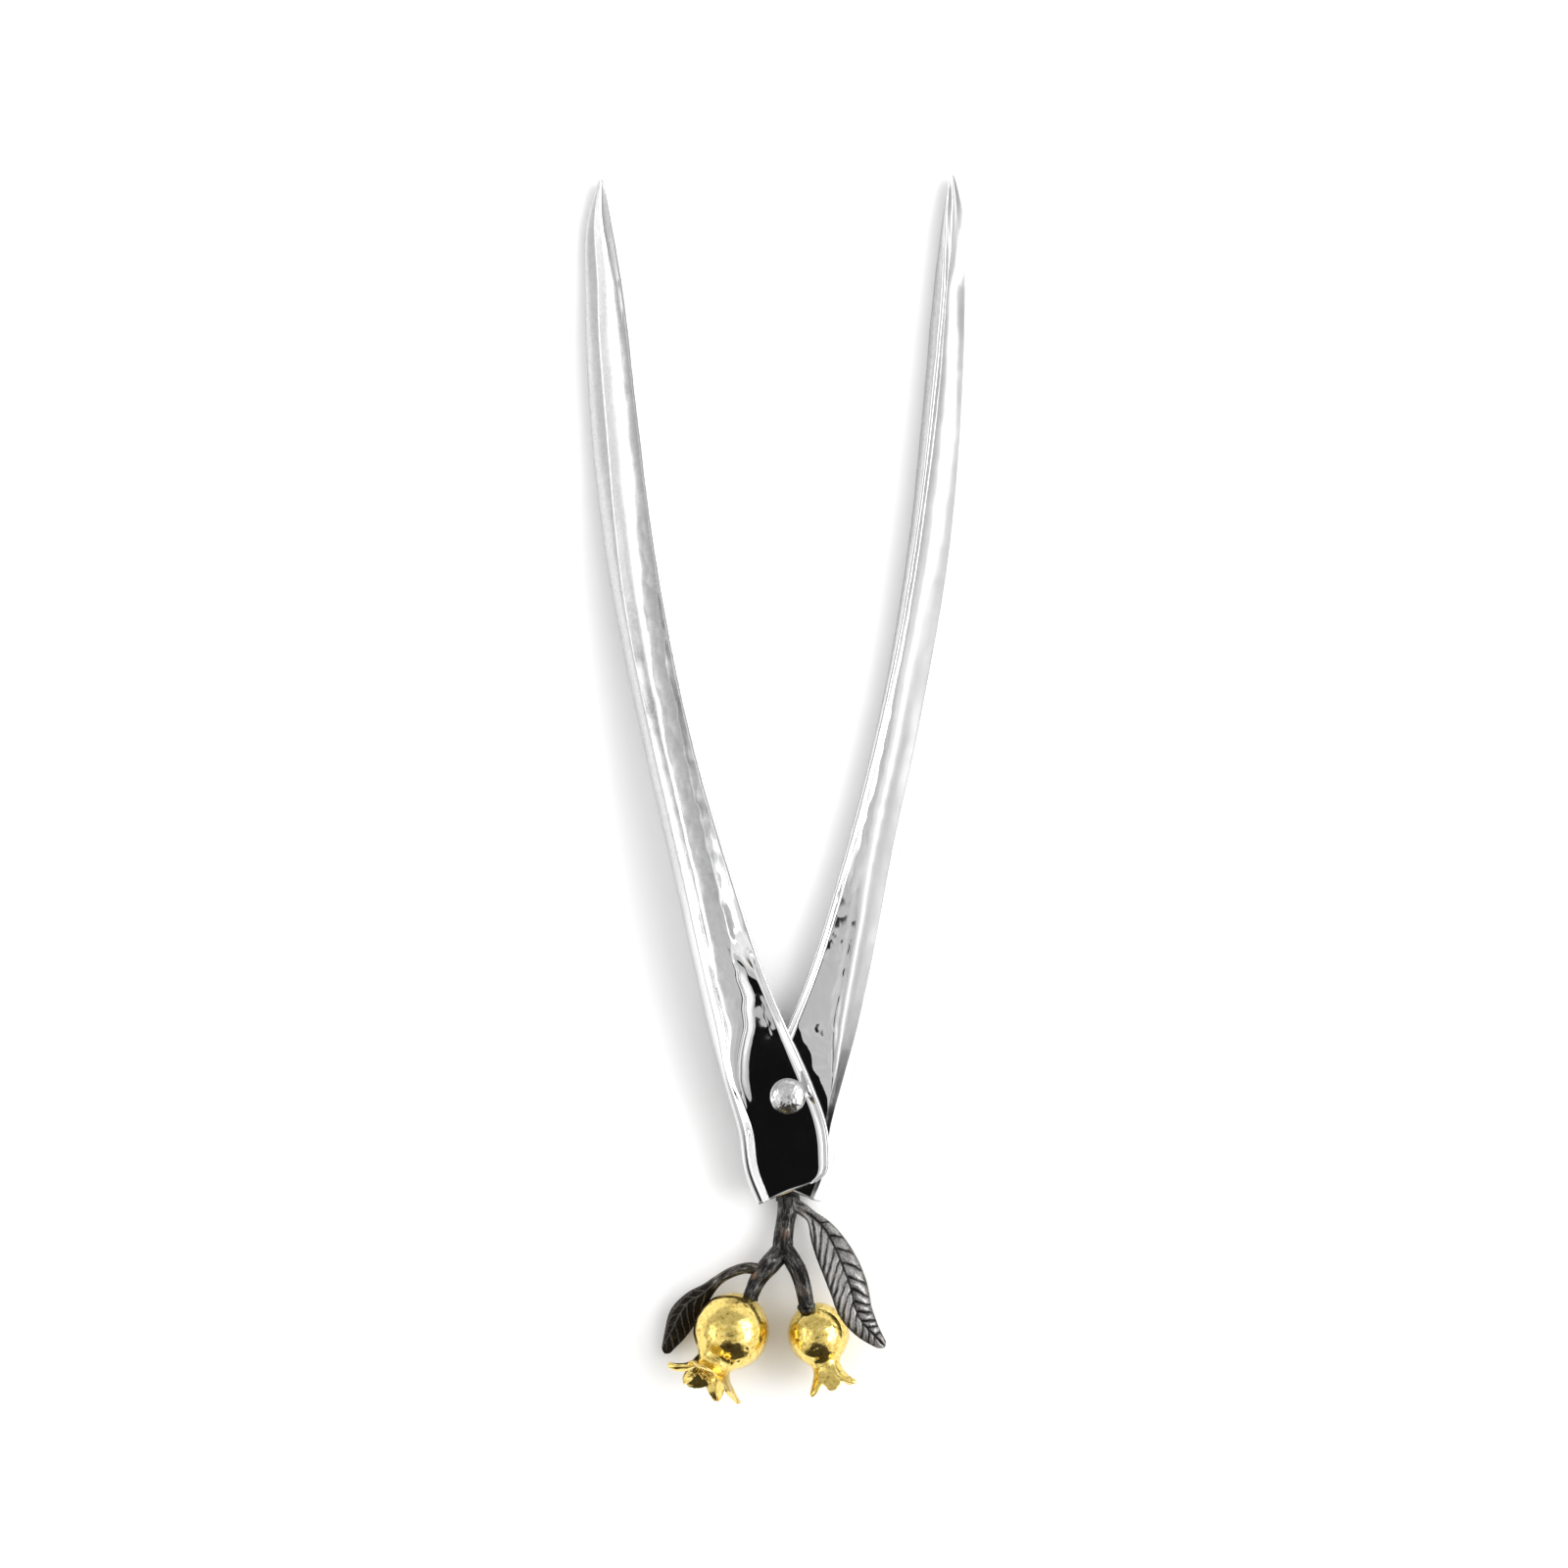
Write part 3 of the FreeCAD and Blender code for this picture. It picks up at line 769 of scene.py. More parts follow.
def collar(points, width, growth):
    """A short thicker ring at the end of a limb."""
    end, before = np.array(points[-1]), np.array(points[-2])
    ahead = (end[:3] - before[:3]) / np.linalg.norm(end[:3] - before[:3])
    rows = []
    for share, grown in ((-0.9, 0.0), (-0.5, 0.85), (0.0, 1.0), (0.5, 0.85), (0.9, 0.1)):
        rows.append((*(end[:3] + ahead * (share * width - 1.0)), end[3] + growth * grown))
    return tube(rows, 0.12, 40)


def bark(limbs):
    """A function that gives the bark's height at a place, in grooves that follow each limb."""
    samples = []
    for limb in limbs:
        places, rows = along_path(limb, 0.25)
        centres = rows[:, :3]
        _, side, up = path_frames(centres)
        samples += list(zip(centres, side, up, places, [len(samples)] * len(places)))
    tree = tree_of([sample[0] for sample in samples])

    def height(place):
        centre, index, _ = tree.find(place)
        _, side, up, along, limb = samples[index]
        away = place - centre
        a, b = away.dot(Vector(side)), away.dot(Vector(up))
        reach = max(hypot(a, b), 0.2)
        spot = Vector((3.6 * a / reach, 3.6 * b / reach, 0.34 * along + limb))
        coarse = 1 - abs(noise.noise(spot)) * 2.4
        fine = 1 - abs(noise.noise(spot * 2.3 + Vector((7, 3, 1)))) * 2.4
        return 0.55 * coarse + 0.45 * fine + 0.35 * noise.noise(place * 0.55)
    return height


def build_branch(material):
    """The tang and its eye, the trunk and both twigs, fused into one casting."""
    turns = np.linspace(0, 2 * pi, 72)[:-1]
    eye = [(TANG_R * cos(turn), TANG_R * sin(turn)) for turn in turns]
    half = TANG_TAIL_W / 2
    tail = [(-half, TANG_END_Y), (half, TANG_END_Y), (half, TANG_START_Y), (-half, TANG_START_Y)]
    limbs = [TRUNK, LARGE_TWIG, SMALL_TWIG]
    parts = [plate(outline, 0.0, TANG_T) for outline in (eye, tail)]
    parts += [tube(limb, 0.3, 40) for limb in limbs]
    parts += [collar(SMALL_TWIG, 0.55, 0.32), collar(LARGE_TWIG, 0.5, 0.14)]
    obj = new_object("branch", *merge(parts))
    fuse(obj, 0.14, 4)
    grooves = bark(limbs)

    def height(place, normal):
        share = ease((BARK_Y - place.y) / 2.0)
        return share * (BARK_DEPTH * (grooves(place) - BARK_MIDDLE) + BARK_BASE)

    displace(obj, height)
    for vertex in obj.data.vertices:
        if vertex.co.y > FLAT_Y * MM:
            vertex.co.z = min(vertex.co.z, (TANG_T + 0.01) * MM)
        vertex.co.z = max(vertex.co.z, 0.0)
    seat = [(0.0, -1.0), (3.05, -1.0), (2.72, 0.0), (1.82, 0.9), (1.82, 4.0), (0.0, 4.0)]
    cut_away(obj, revolve("cutter", seat, 64))
    places = [vertex.co / MM for vertex in obj.data.vertices]
    set_layer(obj, "wear", np.clip([0.85 * grooves(place) - 0.02 for place in places], 0, 1))
    set_layer(obj, "rub", [max(0.0, 1 - (place - RUB).length / RUB_R) for place in places])
    finish_piece(obj, material, "spray", ["branch"])


# ---- leaves

LEFT_STEM = [(-4.6, -32.4, 5.8, 1.25), (-7.6, -31.9, 5.9, 1.05), (-10.4, -32.7, 5.7, 0.98),
             (-13, -34.3, 5.3, 1)]
LEFT_BLADE = [(-14.9, -35.9, 5, 1.2, 1.5, 1.3), (-17.3, -38.2, 4.6, 2.1, 2.6, 1),
              (-19.3, -41.2, 3.9, 2.8, 2.6, 0.9), (-20.9, -44.4, 3.2, 2.2, 2, 0.8),
              (-22.2, -46.8, 2.7, 1.3, 1.2, 0.7), (-22.9, -48.2, 2.5, 0.8, 0.8, 0.6)]
RIGHT_STEM = [(0.6, -20.1, 2.3, 1.2), (2.6, -21.2, 2.9, 1.2)]
RIGHT_BLADE = [(4.3, -22.3, 3.7, 1.35, 1, 1.6), (6.3, -24.2, 4.8, 3, 1.6, 1),
               (8.8, -27.9, 6.6, 4.1, 2.4, 1.1), (10.2, -31.2, 7.9, 4.1, 3, 1.1),
               (11.4, -35, 9, 3.8, 3.3, 1.1), (12.8, -39.6, 9.8, 3.3, 2.9, 1),
               (14.8, -42.7, 9.8, 2.5, 2.1, 0.9), (16.8, -45, 9.3, 1.5, 1.2, 0.8),
               (17.9, -46.3, 9, 0.8, 0.8, 0.6)]
LEAF_CAMBER = 0.16  # drop of the leaf's edges below the midrib, per width
LEAF_ACROSS = 110  # points of a ring, half of them on top
LEAF_STEP = 0.13
LEAF_TIP_R = 0.9
UNDER_RELIEF = 0.35  # how much of the relief shows on the leaf's underside


def line_dent(distance, width):
    """1 on a line and 0 away from it."""
    return exp(-(distance / width) ** 2)


def vein_field(starts, slant, bend, place, u):
    """How far, in millimetres, the nearest of a row of side veins is."""
    reach = abs(u)
    origin = place - slant * reach - bend * reach**2
    return min(abs(origin - start) for start in starts) / hypot(1, slant)


def right_leaf_relief(place, u, v, length):
    """Height of the right leaf's engraved veins and pillows, and its wear."""
    right = [2.2 + i * 3.25 - 0.09 * i * i for i in range(11)]
    left = [0.4 + i * 2.55 - 0.035 * i * i for i in range(13)]
    wobble = 0.45 * wave(place * 0.45, u * 0.6, 3.0)
    if u > 0:
        side = vein_field(right, 0.62, 0.035, place + wobble, u)
    else:
        side = vein_field(left, 1.25, 0.05, place + wobble, u)
    edge = 1 - abs(v)
    fade = ease(edge / 0.16) * ease((length - place - 0.6) / 3.0)
    fade *= 0.55 + 0.45 * ease(0.8 + 1.6 * wave(place * 0.7, u * 0.8, 12.0))
    side_cut = line_dent(side, 0.17) * fade
    middle = line_dent(u - 0.12 * sin(0.5 * place), 0.17) * ease((length - place) / 1.5)
    pillow = ease(side / 1.0) * ease(abs(u) / 0.9) * ease(edge / 0.3)
    rolled = line_dent((edge - 0.03) * 3.3, 0.28) * (1.0 if u < 0 else 0.45)
    grain = wave(place * 2.2, u * 4.5, 9.0)
    cut = max(side_cut, middle)
    height = -0.26 * cut + 0.16 * pillow + 0.13 * rolled + 0.03 * grain
    # the left half is lighter than the right, and the blade is lighter away from its stem
    light = 0.56 - 0.27 * ease(u / 1.2 + 0.5) + 0.06 * ease(place / 6.0)
    blotch = wave(place * 0.5, u * 0.9, 21.0)
    wear = light + 0.22 * pillow + 0.20 * grain + 0.22 * blotch - 0.80 * cut
    # darker along the very edge, mostly on the left side
    wear -= 0.45 * line_dent((edge - 0.02) * 3.3, 0.5) * (1.0 if u < 0 else 0.15)
    return height, wear


def left_leaf_relief(place, u, v, length):
    """Height of the left leaf's raised veins inside a smooth rolled edge, and its wear."""
    starts = [0.3 + 2.1 * i for i in range(8)]
    wobble = 0.3 * wave(place * 0.6, u, 5.0)
    centre = u + 0.9 * ease((place - 1.0) / 4.0)
    side = vein_field(starts, 1.25, 0.05, place + wobble, centre)
    fade = ease((1 - abs(v)) / 0.15) * ease((length - place) / 2.0)
    rim = ease((-v - 0.60) / 0.22) + 0.6 * ease((v - 0.82) / 0.15)
    veins = max(line_dent(side, 0.13), line_dent(centre, 0.16)) * fade * (1 - min(rim, 1.0))
    grain = wave(place * 2.5, u * 5.0, 2.0)
    begin = ease(place / 2.5)
    height = begin * (-0.26 * (1 - min(rim, 1.0)) + 0.20 * veins) + 0.02 * grain
    wear = 0.10 + 0.28 * min(rim, 1.0) + 0.38 * veins + 0.14 * grain
    return height, wear


def build_leaf(name, stem, blade, relief, material):
    """A leaf and its stem in one sweep: a round section that widens into the blade."""
    path = [(x, y, z, r, r, 2 * r, 0.0) for x, y, z, r in stem]
    path += [(*point, 1.0) for point in blade]
    places, rows = along_path(path, LEAF_STEP)
    centres = rows[:, :3]
    ahead, _, _ = path_frames(centres)
    start = next(s for s, row in zip(places, rows) if row[6] > 0.98)
    length = places[-1] - start
    vertices, wear = [], []
    for s, row, centre, direction in zip(places, rows, centres, ahead):
        left, right, thick, flat = row[3:]
        left, right, flat = max(left, 0.05), max(right, 0.05), min(max(flat, 0.0), 1.0)
        side = np.array((-direction[1], direction[0], 0.0))
        side /= np.linalg.norm(side)
        up = np.cross(direction, -side)
        up = up if up[2] > 0 else -up
        closing = max(0.0, 1 - (places[-1] - s) / LEAF_TIP_R)
        tip = sqrt(max(1 - closing**2, 0.01))
        for i in range(LEAF_ACROSS):
            angle = 2 * pi * i / LEAF_ACROSS - pi / 2
            v, w = sin(angle), cos(angle)
            u = v * (left if v < 0 else right) * tip
            round_off = abs(w) ** (1.0 - 0.45 * flat)
            lift, worn = relief(s - start, u, v, length)
            lift *= flat * round_off**0.5
            stem_wear = 0.42 + 0.45 * wave(3 * v, 3 * w, s * 0.7)
            bark_rise = 0.07 * (1 - flat) * wave(2.6 * v, 2.6 * w, s * 0.35)
            height = thick / 2 * round_off * tip + bark_rise
            height = height + lift if w >= 0 else -height - UNDER_RELIEF * lift
            height -= flat * LEAF_CAMBER * (left + right) * v * v
            vertices.append(centre + side * u + up * height)
            wear.append(flat * worn + (1 - flat) * stem_wear)
    obj = new_object(name, vertices, ring_faces(len(rows), LEAF_ACROSS))
    set_layer(obj, "wear", np.clip(wear, 0, 1))
    finish_piece(obj, material, "spray", [name])


# ---- pomegranates

Fruit = namedtuple("Fruit", "name x y radius heading tilt neck_r stem sepals seed")
# each sepal: angle round the crown from its top, tip's radius and height, half-width at the
# foot, how blunt it is, how far its edges fold towards the axis, how far the tip curls out, and
# how thick it is beyond its foot
LARGE = Fruit("large", -10.5, -43.6, 7, -119, 20, 3.4, LARGE_TWIG, [
    (-24, 6.8, 9.9, 3.3, 0.95, -0.06, 1, 1.3),
    (42, 6.3, 11.5, 3.1, 0.60, -0.16, 0.1, 1.1),
    (98, 7.9, 10.7, 2.5, 0.40, 0.22, 0.2, 1.3),
    (143, 6.9, 11.3, 2.5, 0.45, 0.30, 0.1, 1),
    (203, 6.4, 11.3, 2.9, 0.75, 0.26, 0.1, 0.9),
    (279, 7.6, 11.5, 2.4, 0.50, -0.05, 0.9, 3),
], 11)
SMALL = Fruit("small", 5.7, -44.3, 5.7, -75.5, 12, 2.6, SMALL_TWIG, [
    (8, 3.3, 11, 2.3, 0.50, -0.14, 0, 0.9),
    (64, 5.2, 10.4, 2.1, 0.45, 0.06, 0.6, 2.2),
    (122, 4.4, 10.2, 1.6, 0.35, 0.22, 0.2, 1),
    (182, 4.2, 10.3, 1.6, 0.35, 0.22, 0.2, 1),
    (240, 4.6, 9.9, 1.6, 0.35, 0.22, 0.2, 1),
    (300, 4.7, 10.9, 2, 0.60, 0.06, 0.3, 2.3),
], 23)
NECK_FOOT, NECK_H = 0.80, 1.6
SEPAL_T = 0.85
PEG_R, PEG_L = 0.6, 3.6
FRUIT_STRETCH = 1.06  # the stem's side is this much longer than a ball's
PITS = 46
STAMENS = 15
SEPAL_ROWS, SEPAL_ACROSS = 34, 28


def fruit_place(fruit):
    """Turns what is made about +Z so that +Z points out of the fruit's crown."""
    return (Matrix.Translation(Vector((fruit.x, fruit.y, fruit.radius)) * MM)
            @ Matrix.Rotation(radians(fruit.heading), 4, "Z")
            @ Matrix.Rotation(radians(90 - fruit.tilt), 4, "Y"))


def build_fruit(fruit, material):
    """A ball with a smooth neck, uneven as cast and hand-finished metal is, with a few pits."""
    radius = fruit.radius
    foot = NECK_FOOT * radius
    top = foot + NECK_H
    start_h = 0.74 * radius
    start_r = sqrt(radius**2 - start_h**2)
    turns = np.linspace(-pi / 2, asin(start_h / radius), 120)
    profile = [(max(radius * cos(turn), 0.0), radius * sin(turn)) for turn in turns]
    slope = np.array((-start_h, start_r)) / radius
    neck = bezier([(start_r, start_h), tuple(np.array((start_r, start_h)) + slope * 1.1),
                   (fruit.neck_r + 0.15, top - 1.1), (fruit.neck_r - 0.05, top + 0.2)], 18)
    profile += [tuple(p) for p in neck[1:]]
    profile += [(fruit.neck_r - 0.5, top + 0.25), (0.0, top + 0.25)]
    profile[0] = (0.0, profile[0][1])
    obj = revolve(f"{fruit.name}_pomegranate", profile, 200)
    random.seed(fruit.seed)
    pits = []
    for _ in range(PITS):
        spot = Vector([random.gauss(0, 1) for _ in range(3)]).normalized() * radius
        pits.append((spot, random.uniform(0.14, 0.34), random.uniform(0.05, 0.14)))
    tree = tree_of([pit[0] for pit in pits])
    cast = uneven(Vector((fruit.seed, 0, 0)), [(0.075, 0.30), (0.034, 0.95), (0.016, 2.8)])

    def height(place, normal):
        _, index, distance = tree.find(place)
        _, width, depth = pits[index]
        pit = -depth * line_dent(distance, width)
        share = 1 - ease((place.z - foot) / NECK_H)
        return (cast(place, normal) + pit) * (0.25 + 0.75 * share) - 0.03

    displace(obj, height)
    for vertex in obj.data.vertices:
        vertex.co.z *= FRUIT_STRETCH if vertex.co.z < 0 else 1.0
    obj.data.transform(fruit_place(fruit))
    for vertex in obj.data.vertices:
        vertex.co.z = max(vertex.co.z, 0.02 * MM)
    finish_piece(obj, material, "spray", [f"{fruit.name}_pomegranate"])


def sepal_mesh(fruit, angle, tip_r, tip_h, half_w, blunt, fold, curl, body):
    """One sepal as a closed curved blade about +Z."""
    foot = NECK_FOOT * fruit.radius + NECK_H
    inner = fruit.neck_r - SEPAL_T / 2
    rise = tip_h - foot
    spread = tip_r - inner
    line = bezier([(inner, foot - 0.5), (inner + 0.02 * spread, foot + 0.35 * rise),
                   (inner + (0.45 - 0.25 * curl) * spread, foot + (0.62 + 0.30 * curl) * rise),
                   (tip_r, tip_h)], SEPAL_ROWS)
    line = np.vstack([line, [(tip_r, tip_h)]])
    ahead = np.gradient(line, axis=0)
    ahead /= np.linalg.norm(ahead, axis=1)[:, None]
    outward = np.column_stack([ahead[:, 1], -ahead[:, 0]])
    theta = radians(angle)
    radial = np.array((-cos(theta), sin(theta), 0.0))
    tangent = np.array((sin(theta), cos(theta), 0.0))
    axis = np.array((0.0, 0.0, 1.0))
    vertices = []
    for k, (point, out) in enumerate(zip(line, outward)):
        t = k / (len(line) - 1)
        taper = (1 - t ** (1.8 + 3.0 * blunt)) ** (0.85 - 0.40 * blunt)
        width = max(half_w * taper, 0.10)
        thick = SEPAL_T * (1 - t) + body * SEPAL_T * t * (1 - 0.6 * t**3)
        bend = (1 - t) * 0.5 / fruit.neck_r
        for i in range(SEPAL_ACROSS):
            turn = 2 * pi * i / SEPAL_ACROSS
            v = cos(turn)
            u = v * width
            offset = thick / 2 * sin(turn) * sqrt(1 - 0.6 * v * v)
            crease = 0.10 * thick * line_dent(v, 0.22) if sin(turn) < 0 else 0.0
            move = offset - bend * u * u - fold * t * abs(v) ** 1.4 * half_w + crease
            r, h = point + out * move
            vertices.append(radial * r + axis * h + tangent * u)
    return vertices, ring_faces(len(line), SEPAL_ACROSS)


def build_crown(fruit, material):
    """Six sepals of one casting, each with its own width, fold and curl, round a shallow cup."""
    foot = NECK_FOOT * fruit.radius + NECK_H
    parts = [sepal_mesh(fruit, *sepal) for sepal in fruit.sepals]
    outer, inner = fruit.neck_r, fruit.neck_r - SEPAL_T
    cup = [(0.0, 0.02), (outer - 0.1, 0.02), (outer, 0.2), (outer, 1.0), (outer - 0.2, 1.25),
           (inner + 0.1, 1.2), (inner, 0.9), (0.0, 0.7)]
    obj = new_object(f"{fruit.name}_crown", *merge(parts))
    join(obj, revolve("cup", [(r, foot + h) for r, h in cup], 60))
    fuse(obj, 0.13, 3)
    displace(obj, uneven(Vector((0, fruit.seed, 0)), [(0.05, 0.8), (0.02, 2.4)]))
    obj.data.transform(fruit_place(fruit))
    finish_piece(obj, material, "spray", [f"{fruit.name}_crown"])


def join(obj, other):
    """Adds another object's mesh to obj and removes the other."""
    work = bmesh.new()
    work.from_mesh(obj.data)
    work.from_mesh(other.data)
    work.to_mesh(obj.data)
    work.free()
    bpy.data.objects.remove(other)


def build_stamens(fruit, material):
    """Curved filaments of different lengths with small anthers, standing in the cup."""
    random.seed(fruit.seed + 5)
    foot = NECK_FOOT * fruit.radius + NECK_H + 0.6
    reach = 0.45 * fruit.radius - 0.4
    parts = []
    for i in range(STAMENS):
        angle = 2.4 * i
        ring = (fruit.neck_r - 1.1) * sqrt((i + 0.3) / STAMENS)
        direction = np.array((cos(angle), sin(angle), 0.0))
        lean = random.uniform(0.1, 0.5)
        tall = reach * random.uniform(0.7, 1.0)
        swing = np.array((-direction[1], direction[0], 0)) * random.uniform(-0.35, 0.35)
        up = np.array((0, 0, 1.0))
        base = direction * ring + up * foot
        rows = []
        for share, radius in ((0.0, 0.17), (0.35, 0.13), (0.7, 0.11), (0.82, 0.12), (0.9, 0.21),
                              (0.97, 0.19), (1.0, 0.05)):
            place = base + up * (tall * share) + direction * (lean * share**2) + swing * share**1.5
            rows.append((*place, radius))
        parts.append(tube(rows, 0.09, 12))
    obj = new_object(f"{fruit.name}_stamens", *merge(parts))
    obj.data.transform(fruit_place(fruit))
    finish_piece(obj, material, "spray", [f"{fruit.name}_stamens"])


def build_peg(fruit, material):
    """The pin inside the joint of twig and fruit, with chamfered ends and gripping rings."""
    end, before = Vector(fruit.stem[-1][:3]), Vector(fruit.stem[-2][:3])
    along = (end - before).normalized()
    profile = [(0.0, 0.0), (PEG_R - 0.15, 0.0), (PEG_R, 0.18)]
    for i in range(1, 6):
        h = PEG_L * i / 6
        profile += [(PEG_R, h - 0.12), (PEG_R - 0.08, h), (PEG_R, h + 0.12)]
    profile += [(PEG_R, PEG_L - 0.18), (PEG_R - 0.15, PEG_L), (0.0, PEG_L)]
    obj = revolve(f"{fruit.name}_fruit_peg", profile, 40)
    turn = along.to_track_quat("Z", "Y").to_matrix().to_4x4()
    obj.data.transform(Matrix.Translation((end - along * (0.5 * PEG_L)) * MM) @ turn)
    finish_piece(obj, material, "spray", [f"{fruit.name}_fruit_peg"])


def build_spacer(material):
    """The washer between the heels, with broken edges and fine turning rings."""
    low, high = (corner[2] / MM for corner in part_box("spacer_washer"))
    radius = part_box("spacer_washer")[1][0] / MM
    profile = [(BORE_R + 0.15, low), (radius - 0.18, low), (radius, low + 0.18)]
    for i in range(1, 5):
        h = low + (high - low) * i / 5
        profile += [(radius, h - 0.06), (radius - 0.03, h), (radius, h + 0.06)]
    profile += [(radius, high - 0.18), (radius - 0.18, high), (BORE_R + 0.15, high),
                (BORE_R, high - 0.15), (BORE_R, low + 0.15)]
    obj = revolve_ring("spacer_washer", profile, 96)
    finish_piece(obj, material, "spray", ["spacer_washer"])


def revolve_ring(name, profile, count):
    """A closed outline turned about +Z."""
    vertices, faces = [], []
    size = len(profile)
    for k in range(count):
        angle = 2 * pi * k / count
        vertices += [(r * cos(angle), r * sin(angle), z) for r, z in profile]
        for i in range(size):
            j = (i + 1) % size
            next_row = (k + 1) % count * size
            faces.append((k * size + i, k * size + j, next_row + j, next_row + i))
    return new_object(name, vertices, faces)


# ---- studio

FRAME_WIDTH = 0.2928  # what the camera sees across at the table
CAMERA_HEIGHT = 0.90
CAMERA_X, CAMERA_Y = -0.0007, 0.0579
SENSOR_WIDTH = 36.0
FLOOR_HALF = 3.0
# how bright the studio is: the walls to the left and right, the wall at the back, the zenith,
# and the horizon to the left and right
WALL_L, WALL_R, BACK_WALL, ZENITH, HORIZON_L, HORIZON_R = 0.99, 1.16, 0.60, 0.62, 0.64, 1.08
# each hot box: the side it is on, its reach in y and in z, where it begins, how bright it is
BOXES = [(-1.0, (-0.30, 0.30), (0.44, 0.62), (0.42, 0.50), 2.4),
         (1.0, (-0.34, 0.50), (0.36, 0.74), (0.38, 0.44), 5.0)]
SLOT_DARK, WEDGE_DARK = 0.99, 0.94
WEDGE_TINT = (1.0, 0.90, 0.76)


def build_camera():
    data = bpy.data.cameras.new("camera")
    data.sensor_width = SENSOR_WIDTH
    data.lens = SENSOR_WIDTH * CAMERA_HEIGHT / FRAME_WIDTH
    camera = bpy.data.objects.new("camera", data)
    camera.location = (CAMERA_X, CAMERA_Y, CAMERA_HEIGHT)
    bpy.context.collection.objects.link(camera)
    bpy.context.scene.camera = camera


def build_floor():
    far = FLOOR_HALF
    mesh = bpy.data.meshes.new("floor")
    mesh.from_pydata([(-far, -far, 0), (far, -far, 0), (far, far, 0), (-far, far, 0)],
                     [], [(0, 1, 2, 3)])
    floor = bpy.data.objects.new("floor", mesh)
    bpy.context.collection.objects.link(floor)
    material, _, shader, _ = node_material("floor_white")
    shader.inputs["Base Color"].default_value = (0.93, 0.93, 0.93, 1)
    shader.inputs["Roughness"].default_value = 0.7
    shader.inputs["Specular IOR Level"].default_value = 0.1
    floor.data.materials.append(material)


def build_world():
    """A white studio with one unlit side: the dark part lies towards -Y, from just off the top."""
    world = bpy.data.worlds.new("studio")
    world.use_nodes = True
    bpy.context.scene.world = world
    nodes, link = world.node_tree.nodes, world.node_tree.links.new
    background = nodes["Background"]
    place = make_node(nodes, link, "TexCoord", {}).outputs["Generated"]
    x, y, z = make_node(nodes, link, "SeparateXYZ", {0: place}).outputs

    def calc(operation, *values):
        return node_math(nodes, link, operation, *values)

    def times(a, b):
        return calc("MULTIPLY", a, b)

    def rest(value):
        return calc("SUBTRACT", 1.0, value)

    def rise(value, low, high):
        inputs = {"From Min": low, "From Max": high, "Value": value}
        node = make_node(nodes, link, "MapRange", inputs)
        node.interpolation_type = "SMOOTHSTEP"
        return node.outputs["Result"]

    def window(value, low, high, soft):
        """1 between low and high, with edges this soft."""
        return times(rise(value, low - soft, low + soft),
                     rest(rise(value, high - soft, high + soft)))

    def mix(share, first, second):
        return calc("ADD", times(rest(share), first), times(share, second))

    # grey walls, a white sheet overhead round a grey zenith, and a hot box on each side
    level = mix(rise(x, 0.15, 0.40), WALL_L, WALL_R)
    level = mix(rise(y, 0.25, 0.60), level, BACK_WALL)
    level = mix(rise(z, 0.86, 0.955), level, ZENITH)
    low = rise(times(z, -1.0), -0.40, -0.30)
    level = mix(low, level, mix(rise(x, -0.3, 0.3), HORIZON_L, HORIZON_R))
    for towards, reach_y, reach_z, begin, brightness in BOXES:
        box = times(window(y, *reach_y, 0.04), window(z, *reach_z, 0.03))
        level = mix(times(box, rise(times(x, towards), *begin)), level, brightness)
    unevenness = noise_at(nodes, link, "Generated", 7.0, 2.0)
    level = times(level, calc("MULTIPLY_ADD", unevenness, 0.75, 0.62))
    # the dark side towards -Y: a slot beside the zenith, and a wedge that starts further out
    across = calc("ABSOLUTE", x)
    south = times(y, -1.0)
    slot = times(rise(south, 0.020, 0.028), rest(rise(across, 0.085, 0.10)))
    slot = times(slot, rest(rise(south, 0.17, 0.20)))
    edge = calc("MULTIPLY_ADD", south, -0.85, across)
    wedge = times(rise(south, 0.42, 0.48), rest(rise(edge, -0.06, 0.06)))
    dark = calc("MAXIMUM", times(slot, SLOT_DARK), times(wedge, WEDGE_DARK))
    link(times(level, rest(dark)), background.inputs["Strength"])
    tint = mix_colour(nodes, link, wedge, (1.0, 1.0, 1.0), WEDGE_TINT)
    link(tint, background.inputs["Color"])


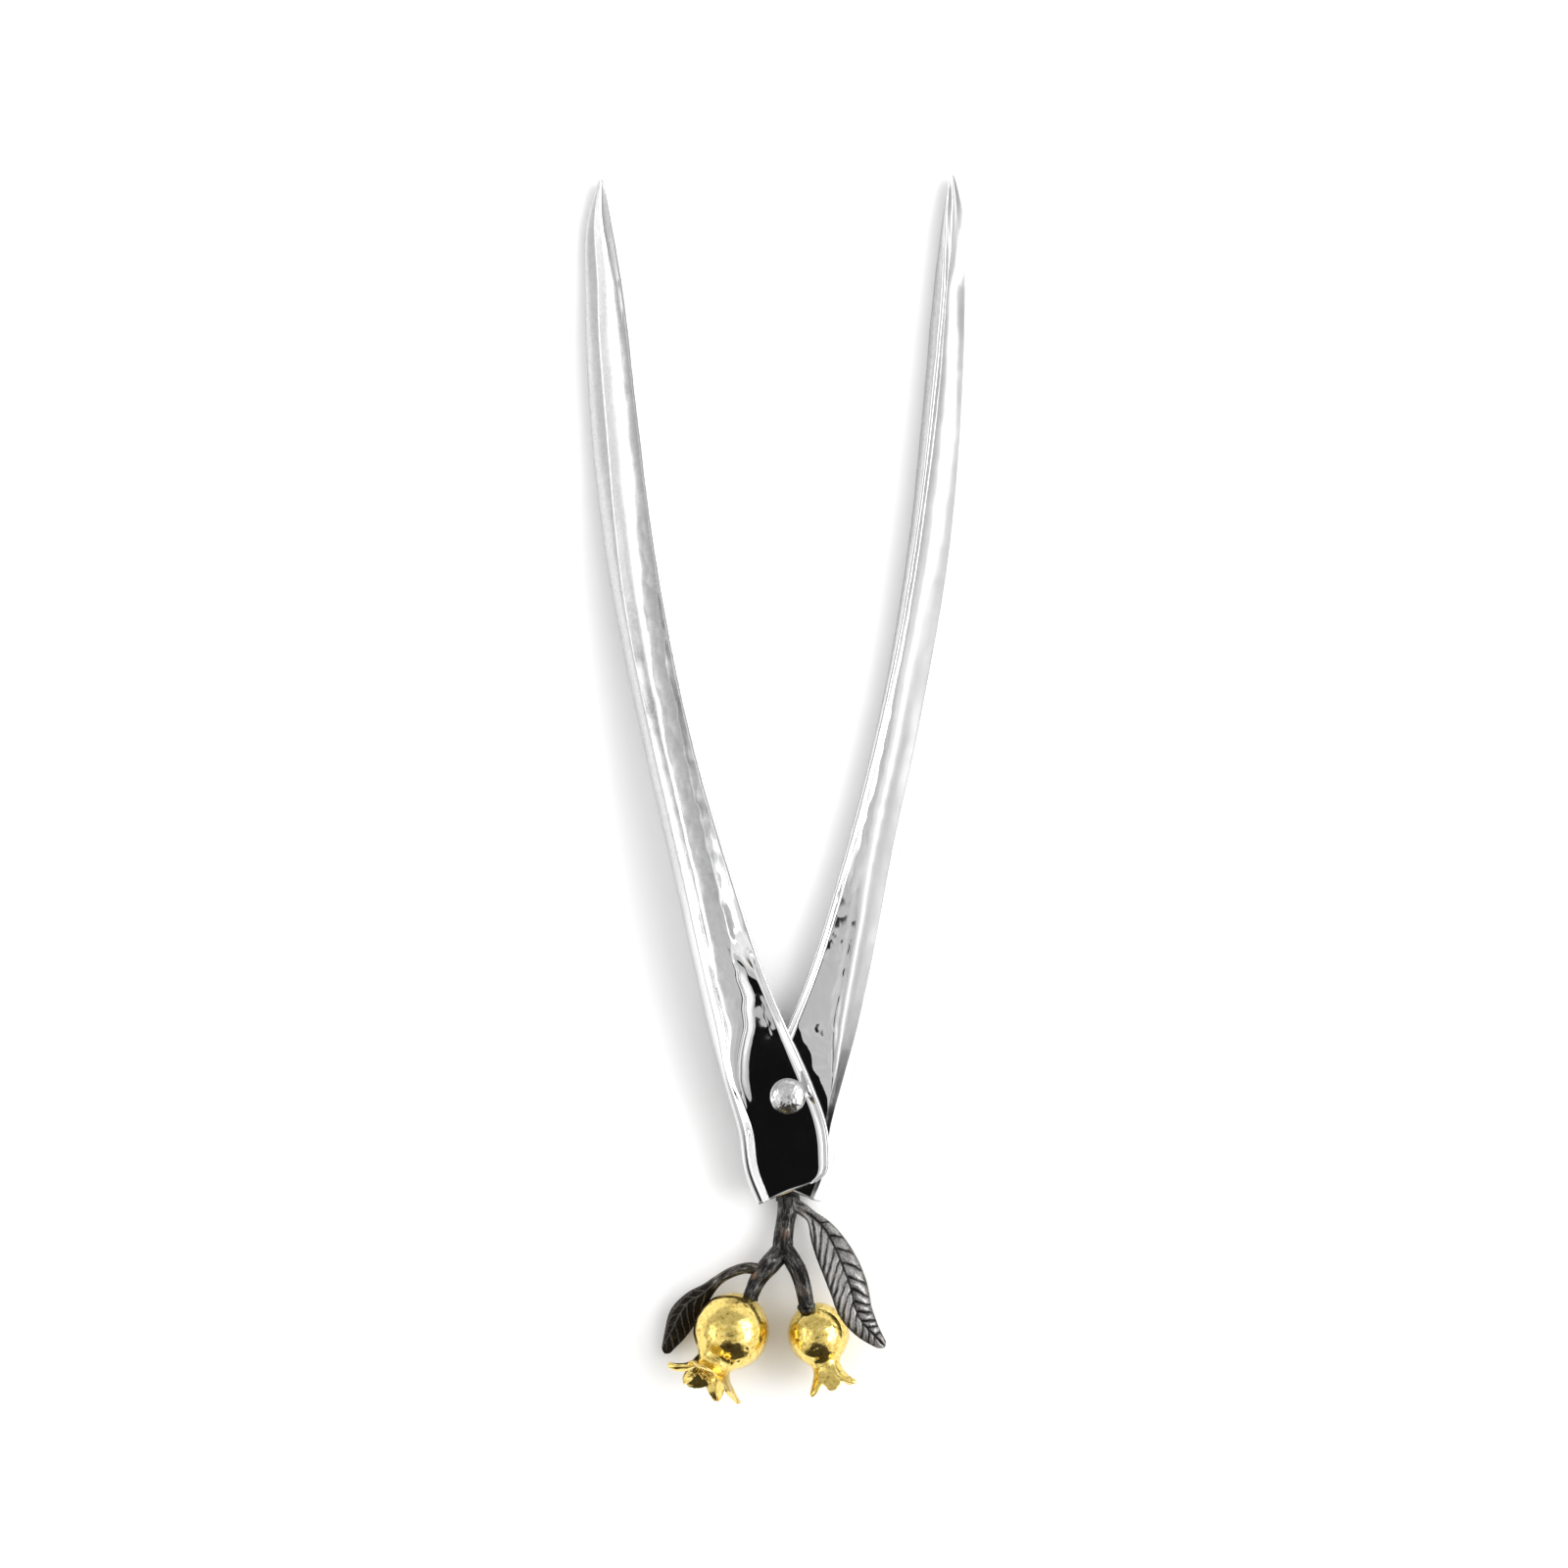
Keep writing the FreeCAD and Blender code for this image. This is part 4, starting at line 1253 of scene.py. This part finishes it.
def build_light(name, place, size, energy):
    """A large soft box, kept out of the reflections."""
    data = bpy.data.lights.new(name, "AREA")
    data.shape = "SQUARE"
    data.size = size
    data.energy = energy
    light = bpy.data.objects.new(name, data)
    light.visible_glossy = False
    light.location = place
    aim = Vector((0, 0.02, 0)) - light.location
    light.rotation_euler = aim.to_track_quat("-Z", "Y").to_euler()
    bpy.context.collection.objects.link(light)


def main():
    build_camera()
    build_floor()
    build_world()
    build_light("soft_key", (0.92, 0.23, 0.66), 1.35, 6.8)
    build_light("soft_fill", (-0.55, 0.30, 0.95), 1.60, 5.0)
    bpy.context.scene.view_settings.view_transform = "Standard"

    steel = arm_steel()
    build_arm(UPPER_ARM, steel)
    build_arm(LOWER_ARM, steel)
    build_rivet(polished_steel("rivet_steel", (0.74, 0.74, 0.74), 0.14, 0.26))
    build_spacer(polished_steel("washer_steel", (0.70, 0.70, 0.69), 0.22, 0.38))

    black = blackened_metal("branch_black", [
        (0.10, (0.010, 0.009, 0.008)), (0.45, (0.045, 0.043, 0.040)), (0.72, (0.12, 0.118, 0.112)),
        (0.95, (0.42, 0.41, 0.40))], (0.30, 0.19, 0.13), 0.28, 0.50)
    build_branch(black)
    dark_leaf = blackened_metal("leaf_black", [
        (0.05, (0.006, 0.005, 0.004)), (0.26, (0.024, 0.020, 0.016)), (0.50, (0.11, 0.10, 0.09)),
        (0.85, (0.34, 0.32, 0.29))], (0.16, 0.11, 0.07), 0.34, 0.55)
    build_leaf("left_leaf", LEFT_STEM, LEFT_BLADE, left_leaf_relief, dark_leaf)
    pewter = blackened_metal("leaf_pewter", [
        (0.02, (0.018, 0.017, 0.016)), (0.35, (0.13, 0.125, 0.12)), (0.62, (0.36, 0.355, 0.345)),
        (0.92, (0.50, 0.495, 0.48))], (0.55, 0.42, 0.32), 0.24, 0.42)
    build_leaf("right_leaf", RIGHT_STEM, RIGHT_BLADE, right_leaf_relief, pewter)

    gold = cast_gold("fruit_gold", 1500.0, 0.10, 0.24)
    stamen_gold = cast_gold("stamen_gold", 2600.0, 0.22, 0.38)
    brass = cast_gold("peg_brass", 1900.0, 0.30, 0.45)
    for fruit in (LARGE, SMALL):
        build_fruit(fruit, gold)
        build_crown(fruit, gold)
        build_stamens(fruit, stamen_gold)
        build_peg(fruit, brass)


main()
